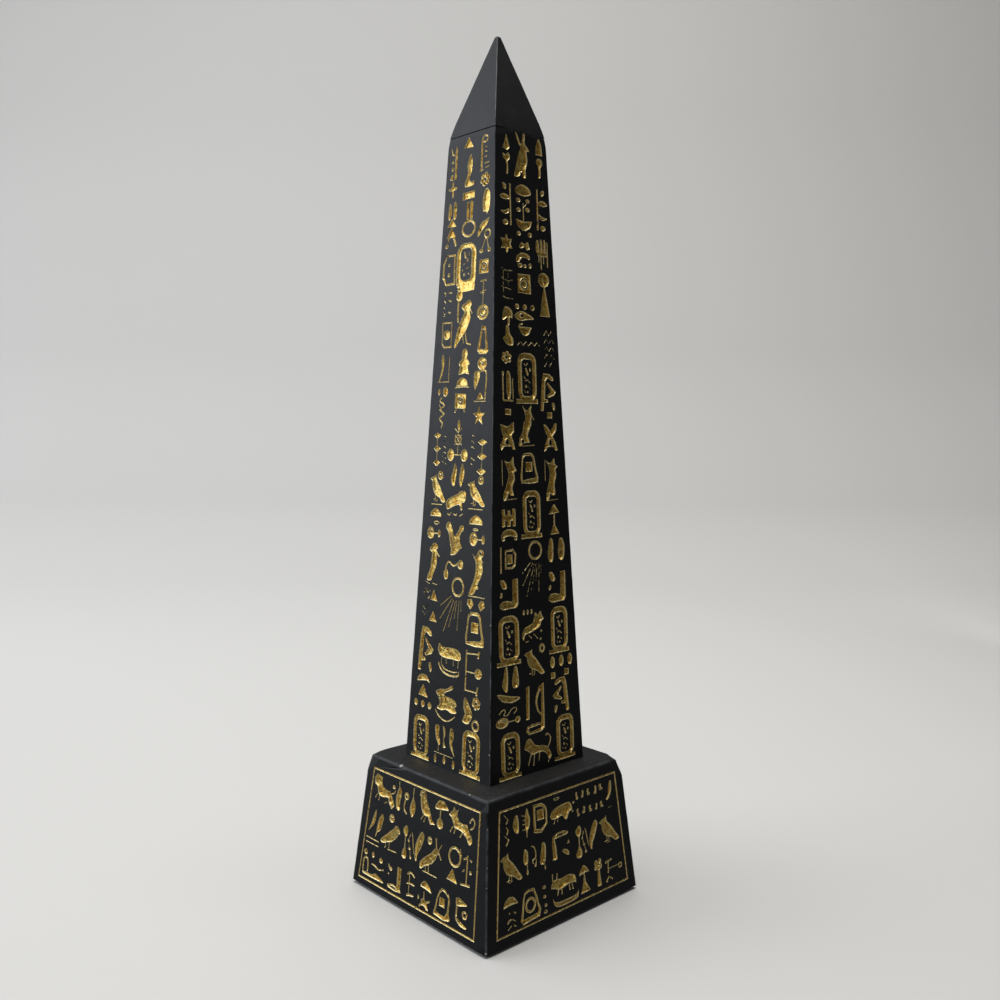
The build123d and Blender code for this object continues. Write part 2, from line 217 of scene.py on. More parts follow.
# %% Draw the people, limbs and hides
learn("""
ankhlegs: ring .55 6.4,7.8 2.9,2.1; line .6 5,5.8 1.8,1.2; line .6 6.2,5.8 8,1.4;
    dot 1.7,.9 1.7,.9; dot 8.5,1 1.5,.9
boot: leaf 4.6,9.6 6,10 7.8,7.6 7.4,4.8 5.6,3.2 5.4,1.8 8,1.4 10,1.6 9.2,.2 2,0 .4,1.2 3,4.2
    2.6,7.2
earedman: leaf 2.8,9.8 5.2,8.6 8.1,9.9 7.8,8.3 9.8,6.2 8,6.9 7.8,5.4 6.5,3.8 5.6,2.5 6.6,1 3.9,.9
    .2,.2 .8,2 2.6,3.8 3,5.4 4.6,6.8 3.8,8.4; -dot 2.6,1.2 .8,.5; line .35 .6,.15 9.4,.3
footarm: bend .6 .4,2.1 .5,7.4 1.2,9.5 2.3,9.3 2.6,6.3 2.5,2.5;
    leaf .2,1.6 2.2,1.9 4.6,2.1 5.6,3.1 6.6,3.5 8.2,2.5 9.8,1.4 9.6,.5 6,.3 1,.3;
    bend .5 4.2,7.7 5.9,7.5 7.5,6.5 9.8,7.7
hide: fill .5,9.2 5.2,8.4 9.3,10 9.4,6.6 7.6,5.2 8.9,3 9.8,.2 8.2,.4 7.2,1.5 2.8,1.4 .7,0 .3,2
    2.4,4.4 1.2,6.6; -leaf 4.9,4.1 5.8,2.7 4.7,2 3.6,2.8
hooks: leaf 1,8 3,10 7.4,9.8 10,8.6 9.4,7 7.4,7.4 7,5.4 5.2,5.2 5.4,7.2 1,6.4;
    leaf 3.6,5 6.2,4.8 7.2,3 10,1.6 9.6,0 4.6,0 .6,1.6 3,2.6
hornman: leaf 1.8,9 3.8,8.7 5.9,8.8 7.9,9.9 8.3,8 9.9,6.8 8.2,6.3 8.6,4.8 6.7,2.9 7.6,1.4 5.6,1.2
    4.2,1.8 3,.7 .5,.1 .8,1.7 2.6,3.5 4.2,5.6 3.3,7.4; line .35 .5,.25 9.6,.5
leg: fill 7,9.8 10,10 10,1.4 9,.2 2,0 .2,.8 0,1.8 1.4,2.8 4,3 6.2,2.4 7,3;
    leaf .6,9.8 2.4,10 4,8.2 3.8,7 2.2,7 1.2,8; leaf .6,5.6 1.6,5.8 1.4,4.4 .4,4.2
openhide: fill .3,9.6 2,9.4 5,7.2 8.2,9.8 9.6,10 9.4,7.4 6.6,5.4 8.8,3 10,.4 8.4,.2 7,1.6 2.8,1.6
    2.2,.6 .4,0 1,2.4 3.2,5.2 1,7.4; -leaf 5,4.4 6,2.9 4.8,2.1 3.8,3
seated: leaf 4.6,10 6.8,9.8 8,8 7.4,6.4 10,4.4 8.4,3 9.6,.2 6,.6 .8,.2 1.4,3 .4,4.6 3,6.2 3,8.4
slotfoot: fill 6.6,9.9 9.4,9.9 9.3,1.4 9.8,.5 6,0 1.2,.2 0,.9 .3,1.6 2,2 4.3,2.5 6.6,2 6.7,4;
    -leaf 2,1.1 4.2,1.6 6.4,1.1 4.2,.8; leaf .1,9.6 1.6,8.6 3,8.2 2.4,7 1.2,7.4 .3,8.2;
    dot .6,5.6 .5,.4
tusk: leaf 0,9.6 2,9 6,6 10,3.8 9.8,1.6 6.6,0 2.6,2.4 1,6
tuskloaf: leaf 0,1 1.2,7 4.6,10 8,8.6 10,2 8,3.4 4,2.4
tuskup: leaf 7,9.6 9.6,10 10,6.8 9,4 6.2,1.2 2.8,0 .2,.3 3.4,2.4 4.8,6 6,8.6
twohorns: leaf .7,9.4 4,8.8 7.2,9.9 7.8,8.6 10,7.9 8.2,7.3 8.7,6 7.2,4 7.5,1.6 5,1.4 3.3,1.8 2.9,.8
    .5,.2 .9,2.2 2.6,4.5 3.5,6.8 2.3,8.3; line .35 .5,.2 9.4,.4
""")

# %% [markdown]
# ## Leaves, reeds and feathers
# A leaf or a feather is a single sweep of the tool, fat in the middle and pointed at its ends. That
# is what the `leaf` pen was made for, with a stroke for a stem or a midrib.

# %% Draw the leaves, reeds and feathers
learn("""
budstaff: leaf 5.2,10 6,8.6 5.2,7.4 4.4,8.6; line .4 3.2,7.9 5,7 7,8; ring .45 5.1,5.2 1.7,1.3;
    line .5 5.1,7.6 5.1,1.6; line .35 3.4,6.4 6.8,4; line .35 3.4,4 6.8,6.4; dot 1.7,1.5 1.7,1.5;
    dot 8.3,1.5 1.7,1.5; line .5 3,1.6 7,1.6
diagleaf: leaf 0,0 .6,4.6 3.6,7.8 10,10 10,10 7.8,6 4.4,3.4 1,0
feather: leaf 5.5,8 8.9,7.4 10,6 8.1,2.8 8.1,.6 5.2,0 1.1,1.2 0,3.9 1.9,6.1;
    line .5 4.8,9.9 5.2,7.7
feathers: leaf 1.4,10 3.2,9 3.2,2 1.8,0 0,3; leaf 7,9.6 8.6,10 10,7 9.6,2 7.8,.4 6.2,3 6.4,7
featherstem: leaf 4.7,10 9.8,8.4 10,6 8,3.9 2.6,4 0,5.7 1.6,8.4; line .4 7.2,4 7.4,.4;
    dot 7.2,.8 2.2,1
feathertail: leaf 4.6,10 8,10 10,8.4 9.6,5.6 8.4,3 8,0 6.4,0 6,1.8 3.8,1.8 0,2.6 .8,5.2 3,8
flowerstaff: dot 2.6,8.8 2.2,1; dot 7.2,9 2.2,1; dot 8.6,7.2 1.4,1; dot 1.8,7 1.8,.9;
    dot 6,6.4 2,.9; dot 5,7.8 2.6,1.3; fill 4.2,6.4 6.6,6.4 8.4,0 3.4,0
fringed: leaf 7,10 8.8,7.9 10,6 8.8,3.6 6.4,2.4 5.2,0 4.6,2.4 4,4.4 4.2,7.4 5.4,9;
    line .45 .3,8.1 4,7.6; line .4 1.5,6.4 4,6.2; line .45 .6,5 4.2,4.8; line .45 .3,3.1 4.5,3.1
heartdrop: leaf 0,9.2 4,8.6 7.4,10 10,8.4 9.4,6.6 7,5.4 7,0 4.6,0 4.4,5.4 1,6.8
leafdrop: line .55 5.2,10 4.8,6.1;
    leaf 4.8,6.8 7,6 8.9,4.8 10,3.4 8.9,1.8 4.6,0 1.1,1.4 0,3 1.9,4.9
leafhalf: leaf 8,10 9.8,7 9.6,1.6 7.8,0 3,1.2 0,4.2 1.4,7.4 4.8,9.8
leaves: leaf 3,10 4.4,7 3.8,3 2.6,0 .2,2.6 1.6,7; leaf 8.4,10 10,6.4 9,2 7.4,0 6.2,3 7,7
loafflower: leaf 1.8,7.5 2.1,8.5 4,9.8 5.6,9.9 7.9,8.9 9.5,7.5 9.7,6.8 5.8,7.2;
    line .6 4.7,6.3 4.8,3.6;
    fill 2.6,2.9 4,3.7 6.6,3.2 9.2,4.2 9.4,3.6 7,2.4 7.4,1.6 8.6,.2 7,.2 5,1.2 3,.9 1.8,0 1.4,.8
    3,2; dot .7,3.4 .6,.8
mushroom: leaf .2,6.7 .5,7.7 2.4,9.5 4.8,10 7,9.7 9.4,8 9.8,7.5 5.2,6.9 1.6,6.4;
    line .75 4.2,6.9 4.3,3.2; dot 4.4,1.9 2.3,1.85
nib: leaf 4,10 7,9 6.6,5 9.6,2.4 9,.4 3,0 2.4,4 1,7.4
reed: leaf 3,10 8,9.6 10,7 9.4,2 6,0 5,1 1,1.4 0,6
reedframe: line .8 1,.6 1,9; line .7 .8,.4 9.2,.4; line .5 9.2,1 9,7.6;
    leaf 4.4,9.6 6,10 7.4,8.6 7.8,4 6.6,1 4.8,1 4,3 4,7; dot 1.2,9.2 1,.7
reedpair: leaf 5.1,10 5.4,8.8 5.1,7.5 4.1,5.7 2.7,4.6 1,3.3 2.2,5.1 3.3,7.3 4.3,9.2;
    leaf 9.4,9.5 9.9,8.7 9.6,7.5 8.9,5.7 8,4.6 6.7,4 5.5,2.3 6,4.6 6.5,6.6 7.6,8.6 8.4,9.4;
    line .45 0,1.6 7.9,1.5; line .45 0,.2 7.9,.2
reedstroke: leaf 3.6,10 5,8.4 4.6,4.6 2.4,1.4 1,.6 3,5 2.6,8.4; line .5 9,.6 9.4,9;
    line .4 0,.3 9.6,.3
rosette: petals 6
slantleaf: leaf 1.4,9.4 3,10 6,8.2 9.8,4.8 9.4,2.4 5.8,0 .2,.6 2.6,3.6 1,6
slantreed: leaf 8,10 10,9 9.4,7.2 6.6,4.5 3.4,2.2 2.4,0 .2,1.1 .2,3.9 1.2,6.1 4,8.5 6,9.7
teardrops: leaf 2.2,9.6 3.4,10 3.8,5 3,0 .4,2.6 1.2,6; leaf 7.6,9.4 9.2,9 10,2.2 7.4,1 6,2.8 6.6,6
""")

# %% [markdown]
# ## Tools and staffs
# Hard things are drawn with straight-sided shapes and strokes of one width. An adze is a blade
# with its handle, and a staff is one stroke with knobs or bars.

# %% Draw the tools and staffs
learn("""
adze: fill .5,.1 2.2,0 2.6,2.2 5,2.4 5,3.1 3.2,3.3 3.6,6.2 3.8,8 5,8.8 7.4,8 8.6,8.2 8.2,9 6,9.9
    2.6,10 1.8,8.4 1,4; fill 4.9,7.7 7.5,6.3 9.8,5.2 8.7,4.2 5.1,3.5 4.3,4 6.7,5.2 4.6,7;
    leaf 7.2,2 8.6,2.2 9,.6 8,.2
adzeblock: fill .2,.2 2.7,.3 2.2,5.2 1.7,7.8 4.2,8 7.6,7.9 9.3,8.3 9.4,9 6.8,9.8 3.2,9.8 .6,8.9
    .1,6.4; -fill 2.6,8.7 4.6,8.5 7.2,8.7 6.2,9.2 3.4,9.2; fill 9.3,6 10,4.5 8.3,4.5;
    leaf 5.5,2.7 7.7,2.7 9.3,1.4 9,.1 7,1.1
armstaff: line .7 1.8,9.2 1.6,3.8; line .8 .2,8.4 3.6,9; dot .5,8.6 .5,.6; dot 3.4,8.9 .6,.5;
    line .4 1.8,5.5 7.4,5.7; ring .5 8.7,5.1 1.2,1.3; line .7 .4,.9 2,2.4; line .6 2.2,2 4,.7;
    dot .6,.8 .6,.6
arrowhead: fill 5.6,10 10,2 6.4,0 0,1.2 2,3.6
barstaff: line .6 5,0 5,9.5; line .7 1,9.4 9,9.6; line .5 1.2,4.8 9,5.8; dot 5,5.2 1.6,.8
bowtie: leaf 0,2.4 2.4,8.4 5,6.4 8,9.6 10,2 7,0 5,3 2.4,.8
clubknob: bend .55 1.4,0 1,5 2.4,8.4 5,6.8 7.4,8.4; dot 8.5,7.8 1.5,2.2; dot 1.2,2.4 1.2,2.6
comb: line .9 8.4,0 8.4,10; leaf 2.6,9.9 5.4,9.6 5,8.4 3,8.8; leaf 0,6.6 3.4,7.4 7.2,7 7.4,6.2 3,6;
    leaf .4,3.2 4,3.4 7.2,4 7.2,3 4,2.5; dot 4.2,.6 2.2,.7
combstaff: fill 6.4,0 9.4,0 10,8.6 8.2,10 6.6,7.4; line .6 1.2,9.2 3.2,7.4 5.6,7.2;
    dot 3.6,5.2 1.6,.6; dot 3.6,3.2 1.7,.6; leaf 0,.2 4.6,.2 4.4,1.6 1.6,1.4
crook: bend .4 0,10 5.6,9.2 8.4,6.6 8.2,4; bend .4 8.2,4 1.6,3.2 2.4,1.6; dot 6.8,.8 2.4,1;
    line .4 8.6,3.4 8.8,1.4
cross: fill 4.4,0 5.8,0 6.2,4 10,4.6 10,5.6 6.2,6.2 5.4,10 4.4,10 3.8,6.2 0,5.6 0,4.6 3.8,4
flagfoot: fill .2,9.3 3.2,9.8 9.6,8.6 8.9,8 3.6,6.9 .8,6.6; line .9 1.5,7 1.4,3; dot 8,4.8 2.2,1.5;
    -dot 8,4.8 1,.7; leaf .6,2.9 3.2,2.4 6.4,1.6 9.8,.9 9.4,.2 5,.3 1.6,1.6
frameblade: bend .6 .8,5 .8,9.2 4,9.6 9.2,9.6 9.4,4 9,1; leaf .6,9 4,9.4 4.6,7.8 1.8,4.4 .8,4.6;
    fill 2.6,1 8,1 6.6,2.6 5,3.2; line .4 .4,.4 9.8,.4
key: line .9 1.2,.6 1.2,9.8; line .6 1.2,9 8,9.4; line 1 7.6,8.4 8.2,10; line .5 1.2,4.9 6,5;
    dot 8,5 2,1.2; line .6 1.2,.7 8,.7; line 1 7.4,0 8,2
knobhook: dot 5,8.2 4.4,1.7; -dot 4.4,8 1.5,.6; bend .55 3.5,6.8 1.5,3.9 2.7,1.6 7.3,.4
staffbars: line .8 5.2,9.6 5.6,.6; line .7 1.4,8 5,8.8; line .8 7.6,8.6 9.8,8.4;
    line .6 1.4,4.2 3.2,5.1; dot 9,4.9 1.3,.6; line .9 0,.4 9,.9
staffknobs: leaf 6.6,10 9.4,8.8 8.6,7.2 5.6,6.5 2,7.4 .6,8.6 3.4,9.4; line .65 5.6,6.8 5.4,3;
    leaf 6.6,3.4 9.4,1.6 8,.2 3.6,0 .2,.8 2.6,2.6
strokeloop: fill .6,9.6 2.3,9.8 2,3.3 .4,3.2;
    fill 9.7,9.9 7.2,9.3 5.5,7.5 5.1,6.1 6.1,4.4 8,3.4 8,2.1 3.4,2.2 .5,1.9 .2,.9 1.5,.2 8,.3
    9.7,.9; -leaf 8.1,8.5 6.6,7.3 6.1,6.1 6.8,4.6 8.1,4.2; -fill 1.5,1.5 7.2,1.7 8,1 1.8,.7
trident: leaf .2,9.4 2,9.8 2.6,6.4 1.8,5.4 .2,6; leaf 3.4,10 5,9.8 5.2,6 3.4,6.4;
    leaf 6,9.8 7.8,10 7.8,6 6,6; line .6 9.2,1 9.2,9.6; fill .8,6.2 8.8,6.2 8.8,4.4 1.2,4.6;
    line .55 2.2,2.4 2.2,5; line .55 4,0 4,5; line .55 6,2 6,5
""")

# %% [markdown]
# ## Vessels, boats and crowns
# Vessels are simple swelling shapes with a flat foot or rim. A boat is two bends, one inside the
# other, and a crown is a block with two gaps left standing in it.

# %% Draw the vessels, boats and crowns
learn("""
boat: bend .6 .8,9.6 1.6,5.4 3.6,2 6.6,1.2 9.2,2.6; bend .35 2,8.8 3.4,5.4 6.6,4.4 8.8,5.4;
    line .5 9.2,2.6 9.4,6
bowl: leaf 0,10 0,10 2.2,2.6 5,0 8,2.4 10,10 10,10
bowldots: fill 0,10 5,9 10,10 9,6 6.2,3.6 4,3.6 1,6; dot 1.6,1.4 1.3,1.5; dot 8.6,1.5 1.3,1.5
bullet: leaf 0,0 0,0 1,5.6 5,10 9,5.6 10,0 10,0
cone: fill 0,0 10,0 7.4,6 5.4,10 4.4,10 2.4,6
crown: fill 0,0 10,0 10,9.6 7.8,10 7.4,6.4 6.2,6.2 6,9 4,9 3.8,6.2 2.4,6.4 2.2,10 0,9.4;
    -fill 2.2,3.6 3.6,3 3.6,0 2.4,0; -fill 6.4,3 7.8,3.4 7.8,0 6.4,0
discstem: dot 5.4,8.3 4.4,1.6; bend .7 4.6,6.8 4.2,3 4.8,0
flask: leaf 0,7.6 2,10 8,10 10,7.4 7,5.4 6.6,.4 3.4,0 3.6,5.4
longboat: leaf 0,9.6 .6,6.4 2,5 5,4.4 9.4,5.4 10,9 9.8,2.4 8.4,.6 4,0 1.6,1 .4,4;
    -line .2 2,3 9,3.2
pillar: leaf 0,6.8 1.4,8.4 4.4,10 7.8,8.6 9.6,7 6,7.2 3,6.9;
    fill 4.3,7 5.2,7 6,3.8 10,.3 .8,0 3.2,3.2
sidedome: leaf 0,.6 0,.6 .4,4.4 2.2,8.6 4.8,10 7.6,8 9.4,3.8 10,1 10,1 5,1.6
tent: fill 1,5 9,5 5.4,10 4.6,10; line .8 3,5.2 1.6,.6; bend .8 7,5.2 8.6,2.6 9.4,.4;
    dot 1.5,.8 1.5,.9
""")

# %% [markdown]
# ## Frames and buildings
# A smaller shape left standing inside a bigger one makes a frame, and what is drawn after it can
# be cut into it again. The two cartouches are long rings on a base line, each with a few small
# marks inside that name nobody.

# %% Draw the frames and buildings
learn("""
barredd: line .7 .6,0 .9,10; fill 3.2,8.6 8,9 10,6.8 9.4,2.4 7.6,1.2 3,1.4;
    -fill 4,7.9 7.6,8.1 8.9,6.4 8.4,3 7.2,2 3.9,2.2; fill 4.6,3.2 7.6,3.2 7.6,6.8 4.6,6.8
bellblock: fill .3,1.2 1.1,2.9 1.8,6.1 3,8.6 4.4,9.9 6.1,9.8 8.6,8.7 9.4,7.6 9.1,3.4 10,1.3 9.4,.7
    6.3,.1 .5,.6;
    -fill 1.8,2 2.5,6.1 3.7,8.2 4.8,9.1 6.3,8.9 8.2,8 8.4,5.9 8.1,3.3 6.7,1.5 3.2,1.6;
    fill 3.3,4.1 6.6,4.1 6.5,6.9 3.4,6.9
bellhoop: fill 2.6,9.5 4.5,10 7.2,9.7 8.4,7.2 9.1,4.6 10,2.9 9.2,.6 6,.4 1.1,0 0,1.5 .9,4.6
    1.6,7.8;
    -fill 3,8.8 4.6,9.2 6.7,8.9 7.5,7 8.1,4.8 8.8,3.2 8.3,1.9 4,1.7 1.2,1.5 1.8,4.6 2.4,7.8;
    ring .8 5,5.1 2.7,2.4
bellring: fill 1.1,8.7 2.6,9.7 6.4,9.8 7.9,8.7 9,4.6 10,2.2 9.8,.4 5.3,.1 .5,.4 0,2.2 .8,5.8;
    -fill 1.9,8.2 3,8.8 6,8.8 6.9,8.2 7.9,4.6 8.6,2.6 8,1.9 4.9,1.7 1.3,1.2 1.1,2.8 1.5,5.8;
    fill 3,3.9 6.8,3.9 6.8,6.9 3,6.9
blocktable: fill 0,7.2 10,7.4 10,10 0,9.9; fill 3.7,6.2 6,6.2 6,0 3.9,.1;
    fill 6.7,6.4 9.2,6.3 9,0 6.7,0
cartouche: round 1.1,.6 9.5,10 .36; -round 2.9,1.5 7.7,8.7 .26; fill 0,0 10,0 9.9,.9 .1,.9;
    bend .3 3.9,7.9 4.7,7.5 5.6,8; leaf 4.4,7 5.1,6.9 5.9,5.8 5.4,5.5 4.8,6.1; dot 6.6,6.7 .4,.35;
    line .3 3.7,5.4 4.3,4.9; bend .3 4.3,4.4 5.2,4.7 6.4,4.1; dot 4.6,3.4 .5,.3;
    line .3 5.6,3.3 6.5,2.8; dot 5.3,2.3 .35,.25; line .3 3.8,2.7 4.3,2.2
dshape: fill .4,10 6.5,9.8 9.1,8.6 10,7 9.8,2.4 5.2,0 0,.8;
    -fill 1.8,9 6,8.8 8.2,7.8 8.7,6.6 8.5,2.8 4.8,1.3 1.7,1.9; fill 2.8,4.4 7.7,4.3 7.6,7.8 2.8,7.8
plaque: fill 3,10 9.8,10 10,0 2.8,0 0,2.6 .2,7.2;
    -fill 3.4,9.4 8.6,9.3 8.8,.8 3.2,.7 1.3,3 1.4,6.8; dot 5,6.7 1,.6; dot 5,3.5 1,.7
shrine: fill .4,2.4 9.6,2 9.8,9.4 .6,9.8; -ring .3 5,6.2 2.1,1.6; line .7 2.4,2.6 .8,.3;
    line .7 7.8,2.8 9,.4
spiral: fill 0,.4 10,0 9.6,10 .2,9.8; -ring .3 5,5 2.8,2.8
square: fill 0,.4 9.6,0 10,9.6 .4,10
tallloop: fill 3.4,10 7,9.4 10,1 8,0 2,.2 0,1.4; -fill 4.3,8.6 5.9,8.2 7.6,1.7 2.6,1.9
threebars: bend .55 .8,8.8 3.4,9.9 6.4,9.8 9.6,8.8; bend .5 .2,5 3.6,5.6 9.8,5.6;
    bend .7 .8,.4 4.4,1 9.6,1.4; line .5 3.4,9.6 3.4,1
triangles: fill 0,6.8 10,7.2 5.6,10 4.6,10; line .9 5,2 5,7.4; fill .8,0 9.6,.2 6,3 4,3
widecartouche: round .3,.3 9.9,10 .38; -round 2.4,2.5 7.6,8.9 .3;
    fill 1.2,.6 3,0 9.4,.2 9.8,1.6 2,1.8; leaf 3.8,8.2 4.8,7.9 5.2,7 4.4,6.9; dot 5.8,6.5 .5,.4;
    line .35 6.2,8.1 6.7,7.3; line .35 3.7,5.6 4.9,5.9; line .35 5.2,4.7 6.5,5;
    line .35 3.2,4.8 3.7,4.3; dot 4.4,3.6 .5,.3; line .35 6,3.9 6.8,3.5
window: fill 0,10 10,9.8 10,0 2.4,0 .2,1.6; -fill .9,9.4 9.1,9.3 9.1,.7 2.8,.7 1,2; dot 5,5 3.4,1.9
""")

# %% [markdown]
# ## Loaves, discs and strokes
# The smallest signs fill the gaps between the big ones. They are a dot, a ring or a few strokes
# each, uneven in the same way, because a row of perfect circles would look machined.

# %% Draw the loaves, discs and strokes
learn("""
ball: dot 5,5 5,5; -bend .2 2.6,6.4 5,4.6 7.6,6.6
balls: dot 1,5 1.1,5; dot 5,5 1.1,5; dot 9,5 1.1,5
beads: dot 5.6,9.2 3.6,.65; dot 5.6,5.9 3.4,.6; dot 7,2.8 3,.65; dot 6,.6 4,.65
burst: fill 5,10 6.4,7.4 9.4,7.8 8.2,5.2 9.8,2.6 6.8,2.8 5.2,0 3.6,2.6 .4,2.2 1.8,5 .2,7.6 3.4,7.4
chain: dot .9,6 1.3,.5; dot 3,3.5 1.7,.5; dot 5.2,.7 1.5,.6;
    line .35 5.2,9.2 6.6,8 7.8,5.6 9.6,2.4; line .35 .8,6.2 4,8.6; line .3 1.4,5.4 2.6,3.8;
    line .3 3.8,3 5,1.2
chevrons: line .35 0,8.6 1.6,6.6 3.4,9.6 5,8; line .35 0,5.2 1.6,3.2 3.4,5.6
crescent: bend .5 .4,8.4 1,3 3.6,1.6 4.6,4; bend .4 1.6,9.6 3,6 5,8
dash: ring .35 5,5 5,5
diamonds: line .5 5,1 5,9; fill 0,9.2 5,10 10,9.2 6,8.2 4,8.2; fill 0,5.2 5,6.2 10,5.2 6,4.2 4,4.2;
    fill 0,1 5,2 10,1 6,0 4,0
discring: dot 5,5 5,5; -ring .3 5,5 3.1,3; dot 5,5 1.4,1.4
dome: leaf 0,2 .6,7 4.6,10 9,7.4 10,2.4 5,0
domedots: leaf 0,4 .6,7.6 4,10 8,9.2 9,7.4 8.4,5.6 6,6.8 3.6,6.4 2.4,4.6 1.6,3.4;
    dot 2.4,1.6 1.6,1.6; dot 5.6,1.4 1.2,1.3; dot 9,2 1,1.8
dot: dot 5,5 5,5
drops: leaf .4,9.1 1.3,9.7 2.4,9.4 2.3,7.4 2.9,5.6 2.4,4.8 1.3,5.9 .7,7.1; line .4 2.2,5 2.1,3.3;
    leaf 3.9,9.7 4.8,9.5 5.1,8.1 4.6,6.4 5.4,4.8 4.2,4.8 4.4,7.1;
    leaf 7.2,9.7 8.4,9.6 8.8,7.6 8.2,6.1 9.3,3.3 8.4,4.1 7.2,5.6 6.9,7.6; line .2 .4,2.9 8.8,2.8;
    dot 1,1.3 .6,1.1; dot 5,1.7 .6,1.1; dot 9,1.3 .6,1.1
dumbbell: dot 2.6,5 2.6,5; dot 8.9,5.2 1.1,3.2; line .55 4,5 9,5; -bend .2 1.4,6 2.6,7.4 4,6
hill: fill 0,.6 10,0 5.4,10 4.4,9.6
line: line .4 0,5 10,5
loaf: leaf 0,0 0,0 .6,5 5,10 9.4,5 10,0 10,0
loaflips: leaf 1,2 1,2 2,7.4 5,10 8,7.4 9,2 9,2; leaf 0,0 2,1.8 8,1.8 10,0 5,.6
loafonfeet: leaf 0,3 1.2,8 5,10 8.8,8 10,3 5,4; dot 1.1,1.6 1.1,1.6; dot 8.9,1.6 1.1,1.6
lozenges: fill 2,0 3.8,4.6 2.6,9 .2,8 0,4; fill 7.6,0 10,4 9.4,8.4 7.8,9 6.2,5
marks: line .5 7.6,8.8 10,7.8; bend .55 .4,3.8 2.4,5.4 4.6,5.4; line .5 5.8,5.4 8.8,3.8;
    line .5 0,.4 4.4,2.2; line .5 7,1.9 9.4,.8; dot 3,9 .7,.5
rays: line .35 5.2,9.6 .4,6.9; line .4 5.7,9.1 .5,4; line .35 6.4,8.8 2.2,1.2;
    line .3 7.2,8.6 4.6,2.4; line .3 7.8,8.8 7,4.5; line .25 8.9,8.8 8.4,2; line .25 9.8,9 9.9,6.4
ring: ring .75 5,5 5,5
ringstaff: ring .5 4.3,8.7 2.7,1.1; line 1.1 1.7,.3 1.7,8.6; line .4 .2,.4 4,.6;
    line .5 4,6.6 6,6.4; line .5 4,5.4 6.4,5.2; line .5 4,3.9 6.4,4; line .5 4,2.2 8.6,2.4;
    line .5 5,1 9,1.2
ringtie: ring .75 5,5 5,5; line .6 8.8,10 9.6,6.6
ripples: bend .3 0,9.2 4,8.6 10,8.8; bend .3 0,6.4 5,5.6 10,6; bend .3 0,3.8 5,3.4 10,2.8;
    bend .3 0,1 5,.4 10,.4; line .25 2,9 1.6,.6; line .25 6,8.8 6,4
rope: dot 1.6,8.9 1.4,.8; bend .5 5,7.6 3,6.7 8,5.6 3,4.6 8,3.5 3,2.4 6.4,1.2 5,0; line .3 2,6 7,3
snake: line .35 .6,10 8.6,8.3; line .7 8.6,8.3 4.4,7; line .35 4,6.2 7.6,4.9;
    line .7 7.6,4.9 4.4,3.6; line .35 0,3.4 7.8,1.9; line .7 7.8,1.9 1.6,.2
staff: line .35 5,0 5,10
star: star 5
stemdots: line .6 5,0 5,8; dot 1.6,9 1.7,1; dot 8.4,9.2 1.6,.9; dot 1.6,4.8 1.7,1;
    dot 8.2,5.4 1.7,1; line .4 5,6 7.6,8
strokes: leaf 0,.6 1,9.4 2.8,9 4,5 2.8,0; leaf 6,.4 6.4,9.4 8.6,10 10,6 9,0
sun: ring .75 7.5,8.4 2.7,1.63
tallies: line .5 .6,9.8 2.6,8.8 1.6,8; line .6 6,9.2 10,9; line .5 1,6.4 3,5.4;
    line .6 6,6.4 9.6,5.8; line .5 .4,4 1.6,3.2; line .5 .4,2 2.4,1.2 1,.4; line .6 6,2 9.6,1.4
ticks: ticks 6 .35
wave: bend .3 0,4.6 1.4,8.6 2.8,9.2 3.4,6 2.4,2.6 4.4,1.4 5.8,5.4 7.2,8.6 9.2,8.8 9.6,5 7.8,1.6
zigzag: zigzag 4 .35
zigzags: zigzag 2 .3 5
""")

# %% [markdown]
# ## Where each sign stands
# A face of the shaft is a page of three columns, read from the top down, and a face of the
# pedestal is one of three lines. Each sign is placed by the box it fills: left, right, top and
# bottom, in millimetres from the face's middle line and from its top edge. A tilde marks a sign
# whose paint hardly took, and an apostrophe one that is drawn as in a mirror. The hidden back
# repeats the front, and the left repeats the right.

